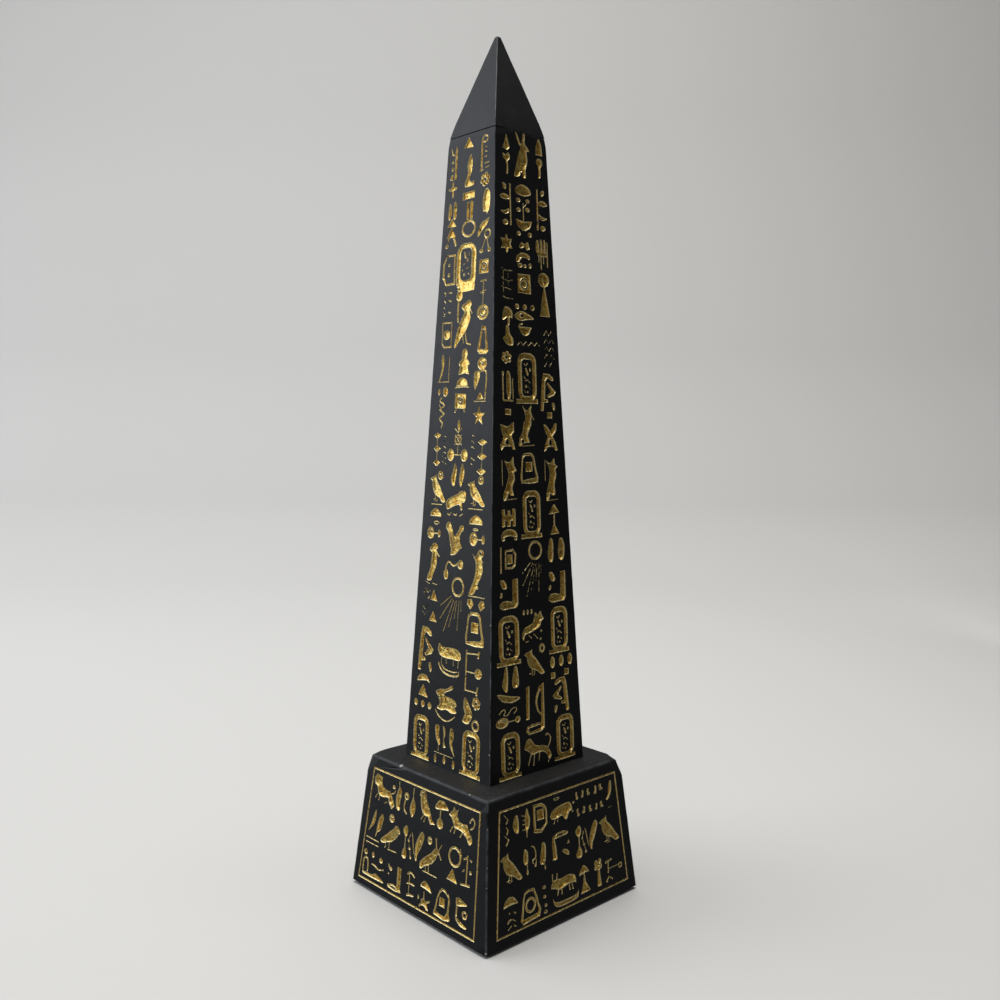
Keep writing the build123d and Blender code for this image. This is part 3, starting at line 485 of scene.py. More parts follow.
# %% Lay out the shaft
SHAFT_FRONT = {
    "left": """combstaff -9.3 -6.1 2.6 12.8; cross -9.6 -5.7 13 18; strokes -9.3 -5.4 19.5 24.3;
        hill -9.6 -5.4 24.3 26.8; tent -10.2 -5 27 32.8; plaque -10.9 -5 34.9 44;
        tallies -9.9 -6.1 45.5 53.4; window -10.1 -5.4 54.8 62.6; reedstroke -11.2 -5.6 64.4 73;
        dot -8.5 -6.1 74.2 77.2; rope -10.9 -6.6 74.4 86.6; diamonds -11.8 -8.4 87.9 98;
        ~ticks -7.5 -5.8 88.2 97.7; falcon -12.6 -5.4 100.5 109; ball -9.3 -6.6 99.4 102.2;
        line -11.9 -6.7 109.4 109.9; loaf -12.1 -6.9 110.8 113.3; dash -10.2 -7.6 114.6 115.8;
        dumbbell -13.2 -6.8 116.6 120.3; hawkman -13 -6.2 121.3 134.4;
        ~crescent -13.9 -6.9 135.2 139.1; ~chevrons -13.9 -6.9 140.4 145.5;
        hill -10.5 -7.1 135.7 139.1; hill -10.7 -7 142.3 145.5; adze -15.6 -7.7 147.4 161.2;
        tuskloaf -15.2 -9.1 162.2 164.9; hill -14.4 -9.8 165.4 169.1;
        balls -16.2 -7.9 170.3 172.5; cartouche -17 -8.1 174.9 188.4""",
    "middle": """hill -3.4 .9 1.5 4.6; boot -2.5 1.8 6.6 15.9; blocktable -3 2.3 17.3 25.4;
        ring -2.9 3.4 25.5 30.7; widecartouche -4.9 4.3 32.2 46.6; discstem -4.4 -1.1 46 55.4;
        heron -4.2 3.5 49 62.4; seated -1.9 3.3 63.2 70.9; loaflips -3 3.5 71.6 74.7;
        shrine -3 2.4 76.1 82.1; budstaff -5.2 4.1 84 96.4; leaves -3.2 3 96.9 103.9;
        lioness -5.9 4.3 104.9 113; wings -4.8 4.1 114.3 124.7; clubknob -4.6 4.3 125.4 131.8;
        sun -5.8 4.9 130.6 149; rays -5.8 4.2 136 149; bull -6.3 5.1 151.3 157.6;
        boat -6.1 5 157 160.8; hare -6.3 4.1 163.2 174.6; drops -6 4.5 175.8 188.2""",
    "right": """ringstaff 4 8.8 1.8 12.7; rosette 4.5 8.8 12.8 17; reed 6 9.2 17.8 25;
        diagleaf 4.4 9.4 26 31; ankhlegs 5.4 10.5 29.1 36; spiral 5.6 9.8 37.8 42;
        barstaff 6.2 9.6 43.6 51; discring 5.5 10.6 50.8 55.3; tallloop 6.3 11.2 56.8 65.2;
        ball 6.7 10.8 66 69.7; frameblade 5.4 11.1 69.8 79.1; star 5.8 11 80.2 85.8;
        ~ticks 5.6 7.2 88 98; diamonds 8.3 12.5 89.6 100; ball 9.2 11.7 100.2 102.8;
        falcon 4.7 12.5 101.6 109.2; line 5.4 11.8 109.7 110.3; loaf 6.1 11.9 111.7 114.5;
        dash 7.8 10.3 115.5 116.4; dumbbell 6.5 13.2 116.7 120.8; jackal 6.8 13.6 121.4 135.7;
        lozenges 6.6 14.5 135.8 139.4; line 7 14.2 135.2 135.6; bellring 6.4 14.7 139.7 150.1;
        key 6.5 14.5 151.1 164.1; slantleaf 6.6 11 165.5 173.1; rosette 10.6 14.5 164.3 168.4;
        ring 10.9 14.3 171.1 174.6; cartouche 6.2 15.5 174.7 188.3""",
}
SHAFT_RIGHT = {
    "left": """arrowhead -7.4 -4.6 1.9 6.7; heartdrop -7.4 -4.6 7.2 12.9; comb -9.1 -4.2 16 28;
        burst -9.3 -4.5 30.6 36.2; ~ripples -9.4 -4.9 39.8 49.5; hooks -9.6 -5.3 51.6 62.5;
        rosette -10.3 -6.1 64.2 68; reedframe -10.4 -5.6 70 78.9; square -9.4 -7 80.9 82.7;
        hide -11.7 -5.6 84.7 93; staff -11.4 -11 95.6 103; hornman -11.2 -5.4 94.6 107.7;
        crown -11.8 -6.4 109.8 115; loafonfeet -12.2 -5.9 115.7 119.2;
        barredd -13.2 -6.5 120.7 128.3; leg -13.7 -6.2 130.3 139;
        cartouche -15.5 -5.8 140.8 155.3; teardrops -13.8 -6.9 155.6 163;
        tusk -15.7 -6.9 162.9 166.3; wave -15.1 -7.9 167.6 169.9; dumbbell -16.5 -6.7 170 173.1;
        cartouche -15.8 -6.8 174.8 188.4""",
    "middle": """seth -3.4 3.4 .9 14; dome -2.7 3.4 15.8 19.2; stemdots -2.6 2.9 19.9 26.5;
        bowldots -2.9 3.6 26.1 30.9; bowtie -1.9 2.4 32.2 34.7; domedots -3.2 3 35.6 40.1;
        spiral -2.9 2.5 41.8 47.6; balls -4.2 3.7 50.6 52.3; earmark -4.7 3.4 52.4 58.2;
        bowl -3.1 2.3 57.2 59.9; ~zigzag -3.7 5.5 61.2 63.1; cartouche -4.8 4.2 64.8 79.7;
        earedman -4.3 2.6 80 92.3; bellring -4 3.4 93.9 103.4; cartouche -4.3 4.4 105.3 119.4;
        sun -6.9 3.9 120.2 138; ~rays -4.6 3.6 125.6 138; balls -4.6 -.6 140.2 141.8;
        lionup -5.2 4.1 141.2 150.2; falcon -4.4 3.8 152.2 160.4; ring 1.7 4.2 151.3 154.1;
        strokeloop -4.6 3.5 162.8 177.9; lionlow -5.5 5.9 178 187.6""",
    "right": """bullet 5.9 8.7 1.7 6.5; flask 6 8.7 7.6 13; comb' 5.2 10.3 16.6 28.6;
        trident 5 10.1 31.5 40.1; dot 5.5 10.2 41 45.3; cone 6 10.2 45.3 54;
        ~zigzags 7.3 11.5 57.8 69.4; adze 4.8 12 70.9 82.2; square 7.8 10 82.5 84.4;
        openhide 6 12 85.8 94.3; staff 6.1 6.5 96.6 103; twohorns 6.4 11.8 96.2 109.3;
        triangles 7.4 11.9 110.3 119.4; feathers 6.5 13.8 120.7 127.8; leg 6.3 13.8 130.7 140;
        cartouche 6 14.7 141.4 155.5; balls 6.4 15.8 156.3 159.9; square 6.4 8.4 161 163;
        square 12.2 14.3 160.9 162.9; adze' 6.8 14.4 163.1 173.8; cartouche 7.2 16.2 174.8 188.4""",
}
for shown, columns in {"front": SHAFT_FRONT, "right": SHAFT_RIGHT}.items():
    print(shown, {column: text.count(";") + 1 for column, text in columns.items()})

# %% [markdown]
# ## The lines of the pedestal
# The pedestal's signs stand in three lines inside a frame. Their boxes are given in the same way,
# from the pedestal's own top edge.

# %% Lay out the pedestal
PEDESTAL_FRONT = """lion -24 -13.2 5 14; feather -12.7 -10 4.5 13.5; knobhook -8.8 -6.2 6.9 13.6;
    leafdrop -5.7 -3 4.7 13.6; owl -1.4 6.3 4.3 13.3; mushroom 5.8 12 5 13.4; dog 12 23.3 4.7 14;
    reedpair -26.2 -17.9 16.2 27.3; ball -15.2 -12.6 15.3 17.9; goose -18.9 -9.5 17.9 26.6;
    staffknobs -8.1 -5.6 16.5 26.6; chain -5.4 -2.2 17.2 26; slantreed -1.9 2 16.4 25.7;
    earbird .6 10.4 16 27.6; ball 3.6 5.7 16.6 19; ringtie 13.2 18.9 16.1 22;
    hill 13.2 17.8 22.6 26.3; staffbars 19.2 23.5 16.6 26; dot -26.7 -24.8 29.5 31.2;
    dot -22.6 -21.2 29.4 31.2; dot -18.7 -16.9 30 31.7; footarm -27.2 -15.9 31.9 37.6;
    slotfoot -14 -7 29.9 37.7; threebars -4.7 -.8 29.7 37.1; loafflower .9 7.1 29.9 38.2;
    bellblock 8.2 15.9 29.3 38.4; flagfoot 17.7 23 29.4 37.5"""
PEDESTAL_RIGHT = """snake -22 -20.2 5 13.8; leafhalf -18.7 -16.4 6.2 11.4;
    fringed -15.3 -12 5.2 13.6; dshape -10.8 -5.1 5 13.6; hippo -3.9 6.4 7.6 12.9;
    ~dash -2.2 .2 5 6; nib 6.9 8.2 5.6 7.9; nib' 9.4 10.8 5.6 7.8; nib 11.7 13.4 5.8 7.7;
    nib' 15 16.6 5.6 8.1; nib 17.1 19.1 5.6 7.5; nib 7 8.4 10.6 12.9; nib' 9.5 11.2 10.5 12.6;
    nib 12.2 14 10.9 12.8; nib' 15.2 16.5 11 12.9; nib 17.3 19 10.9 12.8; ~line 20 23 13.4 13.8;
    tuskup 20.2 23.1 5.7 11.2; falcon -24.2 -16.3 15.6 24.3; featherstem -15.5 -13.6 16.4 23.8;
    crook -12.2 -10.3 16.3 22.4; feathertail -9 -6.4 16.6 24.2; adzeblock -3.9 3.5 15.2 23.1;
    staffknobs 5.9 8.8 15.7 25.3; chain 8.6 11.6 16.4 24.6; slantreed 12 15.8 15.9 24.2;
    falcon 16.5 25.2 15.8 24.4; sidedome -24 -18.5 27.9 30.7; marks -23 -19.5 31.8 37;
    bellhoop -17.9 -9.7 27.9 37.3; beads -9.2 -7.2 28.6 36.8; cow -5.4 5.3 26.6 33.6;
    longboat -4.8 6 33.5 36.9; pillar 6.6 11.2 27.8 36.1; flowerstaff 13.2 16.8 27.8 36.1;
    armstaff 18.2 26 28.8 36.2"""
for shown, text in {"front": PEDESTAL_FRONT, "right": PEDESTAL_RIGHT}.items():
    print(shown, text.count(";") + 1, "signs")

# %% [markdown]
# ## Columns and lines that wander
# Nobody set a ruler to the pattern, so a column leans a little and a line climbs or sinks across
# its face. One drift for each face repeats that: how far its signs stand across and down from
# their boxes, how much more across for each millimetre down, and how much up for each to the right.

# %% Let the signs drift
SHAFT_DRIFT = {
    "front": {"across": 0.35, "lean": -0.0032, "down": -0.05, "climb": 0.0},
    "right": {"across": -0.15, "lean": 0.0, "down": -0.5, "climb": 0.045},
}
PEDESTAL_DRIFT = {
    "front": {"across": 0.0, "lean": 0.0, "down": 0.0, "climb": 0.008},
    "right": {"across": -0.3, "lean": 0.0, "down": 0.2, "climb": 0.0},
}


def drifted(left, right, top, bottom, drift):
    """A sign's box after its face's drift."""
    across = drift["across"] + drift["lean"] * (top + bottom) / 2
    down = drift["down"] - drift["climb"] * (left + right) / 2
    return left + across, right + across, top + down, bottom + down


risen = -drifted(15, 15, 0, 0, SHAFT_DRIFT["right"])[2]
print("a sign at the right edge of the right face climbs", round(risen, 2), "mm")

# %% [markdown]
# ## Strokes and flowing edges
# A stroke is turned into a closed shape by stepping half its width to each side of its path. A
# flowing edge is a Catmull-Rom curve, which passes through every point that it is given, so a
# sign keeps its drawn size. A Bezier curve would need handles for each point.

# %% Curves and strokes
TOO_CLOSE = 1e-6
STROKE_ENDS = 0.7


def flow(points, closed, steps=4):
    """A smooth path through the points."""
    count = len(points)
    path = []
    for i in range(count if closed else count - 1):
        if closed:
            a, b, c, d = (points[(i + k) % count] for k in (-1, 0, 1, 2))
        else:
            a, b, c, d = (points[min(max(i + k, 0), count - 1)] for k in (-1, 0, 1, 2))
        if (b - c).length < TOO_CLOSE:
            continue
        for step in range(steps):
            t = step / steps
            path.append(0.5 * (2 * b + (c - a) * t + (2 * a - 5 * b + 4 * c - d) * t * t
                               + (3 * b - 3 * c + d - a) * t ** 3))
    if not closed:
        path.append(points[-1])
    return path


def stroke(path, width):
    """The outline of a pen stroke along a path, a little narrower at its ends."""
    left, right = [], []
    last = len(path) - 1
    for i, point in enumerate(path):
        before, after = path[max(i - 1, 0)], path[min(i + 1, last)]
        along = (after - before).normalized()
        half = width / 2 * (STROKE_ENDS if i in (0, last) else 1)
        side = Vector((-along.y, along.x)) * half
        left.append(point + side)
        right.append(point - side)
    return left + right[::-1]


print("a test stroke has", len(stroke([Vector((0, 0)), Vector((3, 1))], 0.5)), "points")

# %% [markdown]
# ## Ovals and round corners
# These come from sines and cosines. A small dot needs few sides and a big ring more, so the count
# grows with the root of the size, and no triangles are spent on what nobody can see.

# %% Ovals and round corners
def oval(middle, radii, sides=None):
    """An oval with 8 to 24 sides, more where it is larger."""
    sides = sides or max(8, min(24, int(9 * max(radii) ** 0.5 + 4)))
    return [middle + Vector((radii.x * math.cos(math.tau * k / sides),
                             radii.y * math.sin(math.tau * k / sides))) for k in range(sides)]


def rounded(low, high, radius, sides=5):
    """A box with round corners."""
    path = []
    centres = [(high.x - radius, high.y - radius), (low.x + radius, high.y - radius),
               (low.x + radius, low.y + radius), (high.x - radius, low.y + radius)]
    for corner, centre in enumerate(centres):
        for k in range(sides + 1):
            turn = math.pi / 2 * (corner + k / sides)
            path.append(Vector(centre) + radius * Vector((math.cos(turn), math.sin(turn))))
    return path


print("a 1 mm dot has", len(oval(Vector((0, 0)), Vector((0.5, 0.5)))), "sides")

# %% [markdown]
# ## The grid of a sign
# The same drawing is used large and small, wide and narrow. So the grid is stretched over each
# sign's own box on the face, and only the width of a stroke stays in millimetres, as it does with
# a real tool.

# %% Stretch a grid over a box
class Grid:
    """A sign's ten by ten grid, stretched over its box on a face."""

    def __init__(self, left, right, low, high, mirrored):
        self.left, self.right, self.low = left, right, low
        self.wide, self.tall = right - left, high - low
        self.middle = Vector(((left + right) / 2, (low + high) / 2))
        self.mirrored = mirrored

    def place(self, pair):
        """Where a grid point such as 2.5,4 lies."""
        x, y = (float(value) / 10 for value in pair.split(","))
        return Vector((self.left + self.wide * (1 - x if self.mirrored else x),
                       self.low + self.tall * y))

    def places(self, pairs):
        return [self.place(pair) for pair in pairs]

    def span(self, pair):
        """How wide and how tall a pair of grid lengths is."""
        x, y = (float(value) / 10 for value in pair.split(","))
        return Vector((self.wide * x, self.tall * y))


print("the middle of a box 4 wide and 6 tall:", Grid(0, 4, 0, 6, False).place("5,5")[:])

# %% [markdown]
# ## The plain pens
# Each pen reads its words and gives back closed outlines, each with True if it is cut in or
# False if it is left standing inside what was cut. With one short function for each pen, a new
# one can be added without touching the others.

# %% The plain pens
def fill(grid, words):
    return [(grid.places(words), True)]


def leaf(grid, words):
    return [(flow(grid.places(words), True), True)]


def dot(grid, words):
    return [(oval(grid.place(words[0]), grid.span(words[1])), True)]


def line(grid, words):
    return [(stroke(grid.places(words[1:]), float(words[0])), True)]


def bend(grid, words):
    return [(stroke(flow(grid.places(words[1:]), False), float(words[0])), True)]


def ring(grid, words):
    centre, radii = grid.place(words[1]), grid.span(words[2])
    inner = radii - Vector((1, 1)) * float(words[0])
    return [(oval(centre, radii), True), (oval(centre, inner), False)]


def round_box(grid, words):
    one, two = grid.places(words[:2])
    near = Vector((min(one.x, two.x), min(one.y, two.y)))
    far = Vector((max(one.x, two.x), max(one.y, two.y)))
    return [(rounded(near, far, float(words[2]) * (far.x - near.x)), True)]


PENS = {"fill": fill, "leaf": leaf, "dot": dot, "line": line, "bend": bend, "ring": ring,
        "round": round_box}
print(len(PENS), "plain pens")

# %% [markdown]
# ## The pens that repeat
# A star, a rosette, a column of ticks and a zigzag are one stroke made many times over, so each is
# a loop instead of a list of points.

# %% The pens that repeat
STAR_REACH, STAR_WAIST = 0.53, 0.22
ROSETTE = {"turn": 0.3, "reach": 3.1, "petal": 5.6, "disc": 5, "hole": 9}
TICK_SLANT = 0.25
ZIGZAG_LOW, ZIGZAG_HIGH = 0.2, 0.8


def star(grid, words):
    tips = 2 * int(words[0])
    outline = []
    for k in range(tips):
        reach = STAR_REACH if k % 2 == 0 else STAR_WAIST
        turn = math.tau * k / tips
        outline.append(grid.middle + Vector((grid.wide * reach * math.sin(turn),
                                             grid.tall * reach * math.cos(turn))))
    return [(outline, True)]


def petals(grid, words):
    """A ring of small ovals round a disc with a hole."""
    box = Vector((grid.wide, grid.tall))
    shapes = []
    for k in range(int(words[0])):
        turn = math.tau * k / int(words[0]) + ROSETTE["turn"]
        reach = Vector((grid.wide * math.cos(turn), grid.tall * math.sin(turn))) / ROSETTE["reach"]
        shapes.append((oval(grid.middle + reach, box / ROSETTE["petal"], 8), True))
    shapes.append((oval(grid.middle, box / ROSETTE["disc"], 8), True))
    shapes.append((oval(grid.middle, box / ROSETTE["hole"], 8), False))
    return shapes


def ticks(grid, words):
    """Short slanting strokes, one under the other."""
    rows = int(words[0])
    slant = TICK_SLANT * grid.tall / rows
    shapes = []
    for k in range(rows):
        y = grid.low + grid.tall * (k + 0.5) / rows
        ends = [Vector((grid.left, y + slant)), Vector((grid.right, y - slant))]
        shapes.append((stroke(ends, float(words[1])), True))
    return shapes


def zigzag(grid, words):
    """One zigzag stroke for each row, with a number of peaks."""
    peaks, rows = int(words[0]), int(words[2]) if len(words) > 2 else 1
    shapes = []
    for row in range(rows):
        path = []
        for k in range(2 * peaks + 1):
            share = ZIGZAG_HIGH if k % 2 else ZIGZAG_LOW
            path.append(Vector((grid.left + grid.wide * k / (2 * peaks),
                                grid.low + grid.tall * (row + share) / rows)))
        shapes.append((stroke(path, float(words[1])), True))
    return shapes


PENS.update({"star": star, "petals": petals, "ticks": ticks, "zigzag": zigzag})
print(len(PENS), "pens in all")

# %% [markdown]
# ## Drawing a sign where it stands
# A layout line gives a name and a box. The box is moved by the drift of its face and turned to
# heights above the face's foot, because the mesh is built from the foot up. Then each pen of the
# sign draws its shapes into it.

# %% Draw signs onto a face
def draw(sign, grid):
    """The closed shapes of one sign, each with whether it is cut in, in face coordinates."""
    shapes = []
    for item in signs[sign].split("; "):
        pen, *words = item.lstrip("-").split()
        standing = item.startswith("-")
        shapes += [(outline, cut != standing) for outline, cut in PENS[pen](grid, words)]
    return shapes


def read_layout(text, length, drift):
    """Turns layout lines into (shapes, worn) for each sign on a face of that length."""
    drawn = []
    for entry in text.split(";"):
        name, *box = entry.split()
        left, right, top, bottom = drifted(*map(float, box), drift)
        grid = Grid(left, right, length - bottom, length - top, name.endswith("'"))
        drawn.append((draw(name.strip("~'"), grid), name.startswith("~")))
    return drawn


print("a falcon has", len(draw("falcon", Grid(0, 8, 0, 8, False))), "shapes")

# %% [markdown]
# ## Carving a face
# The signs are cut like a mould: straight down into a flat face, with walls that lean a little
# so that the casting comes out. A boolean would need a solid for every sign. It is simpler to
# lay all outlines flat, let a constrained Delaunay triangulation share the face out between
# them, and then sink the triangles that lie in a sign.

# %% Share a face out between its signs
SAME_POINT = 1e-5
PLAIN = None


def share_out(border, signs_drawn):
    """Cuts a flat face into triangles: the points, and each triangle with its sign or PLAIN."""
    flat, loops, labels = list(border), [list(range(len(border)))], [PLAIN]
    for label, shapes, worn in signs_drawn:
        for outline, cut in shapes:
            area = sum(a.cross(b) for a, b in zip(outline, outline[1:] + outline[:1]))
            outline = outline if area > 0 else outline[::-1]
            loops.append(list(range(len(flat), len(flat) + len(outline))))
            flat.extend(outline)
            labels.append((label, worn) if cut else PLAIN)
    points, _, triangles, _, _, inside = delaunay_2d_cdt(flat, [], loops, 0, SAME_POINT, True)
    shared = [(tuple(triangle), labels[max(covers)])
              for triangle, covers in zip(triangles, inside) if 0 in covers]
    return [Vector(point) for point in points], shared


square = [Vector(corner) for corner in ((0, 0), (1, 0), (1, 1), (0, 1))]
print("a plain square is shared out into", len(share_out(square, [])[1]), "triangles")

# %% [markdown]
# ## The rims of the signs
# Walls go down only where a sign meets the plain face. Those edges are found by asking each
# triangle's edge who owns its other side. At every corner of a rim, the way into the sign is the
# mean of the ways in from its edges.

# %% Find the rims
def find_rims(points, shared):
    """The label of each rim edge, and the way into the sign at each corner of a rim."""
    owner = {}
    for (a, b, c), label in shared:
        for edge in ((a, b), (b, c), (c, a)):
            owner[edge] = label
    rims, into = {}, {}
    for (a, b), label in owner.items():
        if label and not owner.get((b, a)):
            rims[a, b] = label
            along = (points[b] - points[a]).normalized()
            side = Vector((-along.y, along.x))
            for corner in (a, b):
                into[corner] = into.get(corner, Vector((0, 0))) + side
    return rims, {corner: side.normalized() for corner, side in into.items()}


print("a plain square has", len(find_rims(*share_out(square, []))[0]), "rim edges")

# %% [markdown]
# ## Room in a sign
# The chisel goes less deep in a fine line than in a wide shape. So a ray is sent from each corner
# of a rim across its sign, and how far it gets before the next wall says how much room there is.
# The rims stand up as a fence for that, because a ray can only hit faces.

# %% Measure the room in each sign
FULL_STROKE = 1.0
LEAST_ROOM = 0.3
STEP_OFF = 0.01


def find_room(points, rims, into):
    """How wide the sign is at each corner of its rim, as a share of a full-width stroke."""
    fence = [(point.x, point.y, z) for point in points for z in (-1, 1)]
    walls = BVHTree.FromPolygons(fence, [(2 * a, 2 * b, 2 * b + 1, 2 * a + 1) for a, b in rims])
    room = {}
    for corner, side in into.items():
        start = points[corner] + side * STEP_OFF
        width = walls.ray_cast(start.to_3d(), side.to_3d())[3] or FULL_STROKE
        room[corner] = min(max(width / FULL_STROKE, LEAST_ROOM), 1.0)
    return room


class Sheet:
    """A flat face shared out between its signs, ready to be sunk."""

    def __init__(self, border, signs_drawn):
        self.points, self.shared = share_out(border, signs_drawn)
        self.rims, self.into = find_rims(self.points, self.shared)
        self.room = find_room(self.points, self.rims, self.into)

    def at(self, corner, inset, depth):
        """A corner of the sheet, sunk and stepped into its sign by as much as there is room for."""
        room = self.room.get(corner, 1.0)
        place = self.points[corner] + self.into.get(corner, Vector((0, 0))) * inset * room
        return Vector((place.x, place.y, -depth * room))


cross_sheet = Sheet([corner * 10 for corner in square],
                    [("test", draw("cross", Grid(1, 9, 1, 9, False)), False)])
print("a test cross has", len(cross_sheet.rims), "rim edges")

# %% [markdown]
# ## Leaning blocks
# The pedestal, the shaft and the pyramidion are all blocks with four leaning sides. One class
# holds such a block's sizes and gives a matrix for each face, so that a sign drawn flat in
# millimetres lands on the face in metres.

# %% A leaning block
TURNS = {"front": 0, "right": 90, "back": 180, "left": 270}


class Block:
    """Four leaning sides between a square foot and a square top, in millimetres."""

    def __init__(self, foot_z, foot_width, top_z, top_width):
        self.foot_z, self.top_z = foot_z, top_z
        self.foot, self.top = foot_width / 2, top_width / 2
        self.rise = top_z - foot_z
        self.lean = self.foot - self.top
        self.length = math.hypot(self.rise, self.lean)

    def half(self, up):
        """Half the face's width, a given way up its slope."""
        return self.foot - self.lean * up / self.length

    def turned(self, side):
        """From millimetres in front of the block to metres on one side of it."""
        return Matrix.Scale(MM, 4) @ Matrix.Rotation(math.radians(TURNS[side]), 4, "Z")

    def matrix(self, side):
        """From a point on a face (across, up the slope, out) in millimetres to metres."""
        across = Vector((1, 0, 0))
        up = Vector((0, self.lean, self.rise)) / self.length
        out = across.cross(up)
        face = Matrix((across, up, out)).transposed().to_4x4()
        face.translation = Vector((0, -self.foot, self.foot_z))
        return self.turned(side) @ face

    def shoulders(self):
        """The four corners of the square top."""
        return [Vector((x * self.top, y * self.top, self.top_z))
                for x, y in ((1, 1), (1, -1), (-1, -1), (-1, 1))]


shaft_block, pedestal_block, pyramidion_block = Block(*SHAFT), Block(*PEDESTAL), Block(*PYRAMIDION)
print("shaft face:", round(shaft_block.length, 1), "mm up its slope")

# %% [markdown]
# ## Into the scene
# Everything in Blender is an object that shows some data: a mesh, a lamp or a camera. Two small
# functions make the objects for the whole lesson.

# %% Put things into the scene
def new_object(name, data):
    """Puts a mesh, a lamp or a camera into the scene."""
    made = bpy.data.objects.new(name, data)
    bpy.context.scene.collection.objects.link(made)
    return made


def mesh_object(name, mesh):
    """Puts a finished bmesh into the scene."""
    data = bpy.data.meshes.new(name)
    mesh.to_mesh(data)
    mesh.free()
    return new_object(name, data)


# %% [markdown]
# ## A mesh that welds itself
# Strips of faces are easiest to make one by one, but a casting is one skin. So a vertex is looked
# up by its place, and strips that meet share it. Each vertex also carries how worn it is, which
# the resin's finish reads later. Corners that the mould never filled, or that were knocked since,
# are pushed inward at the end.

# %% A mesh that welds itself
WELD_STEPS_IN_A_METRE = 1e8
INWARD_AND_DOWN = 0.6


class Skin:
    """A closed mesh in the making."""

    def __init__(self):
        self.mesh = bmesh.new()
        self.wear = self.mesh.verts.layers.float.new("edge_wear")
        self.welded = {}

    def vertex(self, place, worn=0.0):
        """One vertex for each place, so that neighbouring strips join."""
        key = tuple(round(value * WELD_STEPS_IN_A_METRE) for value in place)
        if key not in self.welded:
            self.welded[key] = self.mesh.verts.new(place)
        found = self.welded[key]
        found[self.wear] = max(found[self.wear], worn)
        return found

    def face(self, places):
        """A face between places, unless it is there already or has shrunk to a line."""
        corners = list(dict.fromkeys(self.vertex(place) for place in places))
        if len(corners) > 2 and not self.mesh.faces.get(corners):
            self.mesh.faces.new(corners)

    def close_ends(self):
        open_edges = [edge for edge in self.mesh.edges if len(edge.link_faces) == 1]
        bmesh.ops.holes_fill(self.mesh, edges=open_edges, sides=0)
        bmesh.ops.recalc_face_normals(self.mesh, faces=self.mesh.faces)

    def blunt(self, corner, reach, depth):
        """Pushes what is near a corner inward, most at the corner itself."""
        corner = Vector(corner)
        inward = Vector((-corner.x, -corner.y, -INWARD_AND_DOWN * abs(corner.x))).normalized()
        for vertex in self.mesh.verts:
            away = (vertex.co / MM - corner).length
            if away < reach:
                vertex.co += inward * depth * MM * (1 - (away / reach) ** 2)

    def finish(self, name):
        open_edges = sum(len(edge.link_faces) != 2 for edge in self.mesh.edges)
        faces = len(self.mesh.faces)
        print(name, "has", faces, "faces and", open_edges, "edges that don't join two")
        return mesh_object(name, self.mesh)


print("vertices are welded to", 1 / WELD_STEPS_IN_A_METRE, "m")

# %% [markdown]
# ## Carved faces
# The wall of a sign isn't one straight slope. Its lip is a little rounded and slopes in gently,
# and then it drops steeply to the floor. So each cut goes down in a few steps, each given as how
# far into the sign and how deep it lies, in millimetres.

# %% Carve a face
CUT_DEPTH = 0.6
CUT_PROFILE = [(0.0, 0.0), (0.07, 0.06), (0.25, 0.2), (0.33, CUT_DEPTH)]


class CarvedSkin(Skin):
    """Four carved faces of a block."""

    def __init__(self, block, soft):
        super().__init__()
        self.block, self.soft = block, soft
        self.sheets = {}

    def add_face(self, side, border, signs_drawn):
        """Sinks the signs of one face, with a profile of steps for their walls."""
        sheet, matrix = Sheet(border, signs_drawn), self.block.matrix(side)
        self.sheets[side] = sheet

        def at(corner, step):
            return matrix @ sheet.at(corner, *CUT_PROFILE[step])

        for triangle, label in sheet.shared:
            self.face([at(corner, -1 if label else 0) for corner in triangle])
        for a, b in sheet.rims:
            for step in range(len(CUT_PROFILE) - 1):
                self.face([at(a, step), at(b, step), at(b, step + 1), at(a, step + 1)])


print("a sign is cut", CUT_DEPTH, "mm deep in", len(CUT_PROFILE) - 1, "steps")

# %% [markdown]
# ## Soft edges
# A resin casting has soft edges: the mould's corners fill a little short, and handling rubs them.
# Each upright edge is a quarter bend between two faces, cut into short steps up the block, and
# each step is pushed in or out by a few hundredths of a millimetre, so that the line of light
# along it isn't ruled. A bevel modifier would give every edge the same ruled line.

# %% Bend the upright edges
BEND_STEPS = 4
EDGE_RUB, EDGE_RUB_SCALE = 0.06, 0.9


def bend_points(before, corner, after):
    """Points of a soft edge between two faces: a quadratic Bezier curve."""
    return [(1 - t) ** 2 * before + 2 * t * (1 - t) * corner + t * t * after
            for t in (k / BEND_STEPS for k in range(BEND_STEPS + 1))]


class BentSkin(CarvedSkin):
    """Carved faces joined by soft upright edges."""

    def bend(self, side, up):
        """The soft edge at the right of a face, a given way up."""
        sides = list(TURNS)
        after = sides[(sides.index(side) + 1) % 4]
        half = self.block.half(up)
        here, there = self.block.matrix(side), self.block.matrix(after)
        strip = bend_points(here @ Vector((half - self.soft, up, 0)), here @ Vector((half, up, 0)),
                            there @ Vector((-half + self.soft, up, 0)))
        for k in range(1, BEND_STEPS):
            rub = noise.noise(strip[k] / MM * EDGE_RUB_SCALE) * EDGE_RUB * MM
            strip[k] = strip[k] + Vector((strip[k].x, strip[k].y, 0)).normalized() * rub
        return strip

    def add_edge(self, side, rows, rubbed):
        """Lays the soft edge at the right of a face, and marks it as rubbed."""
        strips = [self.bend(side, up) for up in rows]
        for low, high in zip(strips, strips[1:]):
            for k in range(BEND_STEPS):
                self.face([low[k], low[k + 1], high[k + 1], high[k]])
        for strip in strips:
            for k in range(1, BEND_STEPS):
                self.vertex(strip[k], rubbed)
        self.sheets[side].top_bend = strips[-1]


print("a soft edge is", BEND_STEPS, "faces wide")

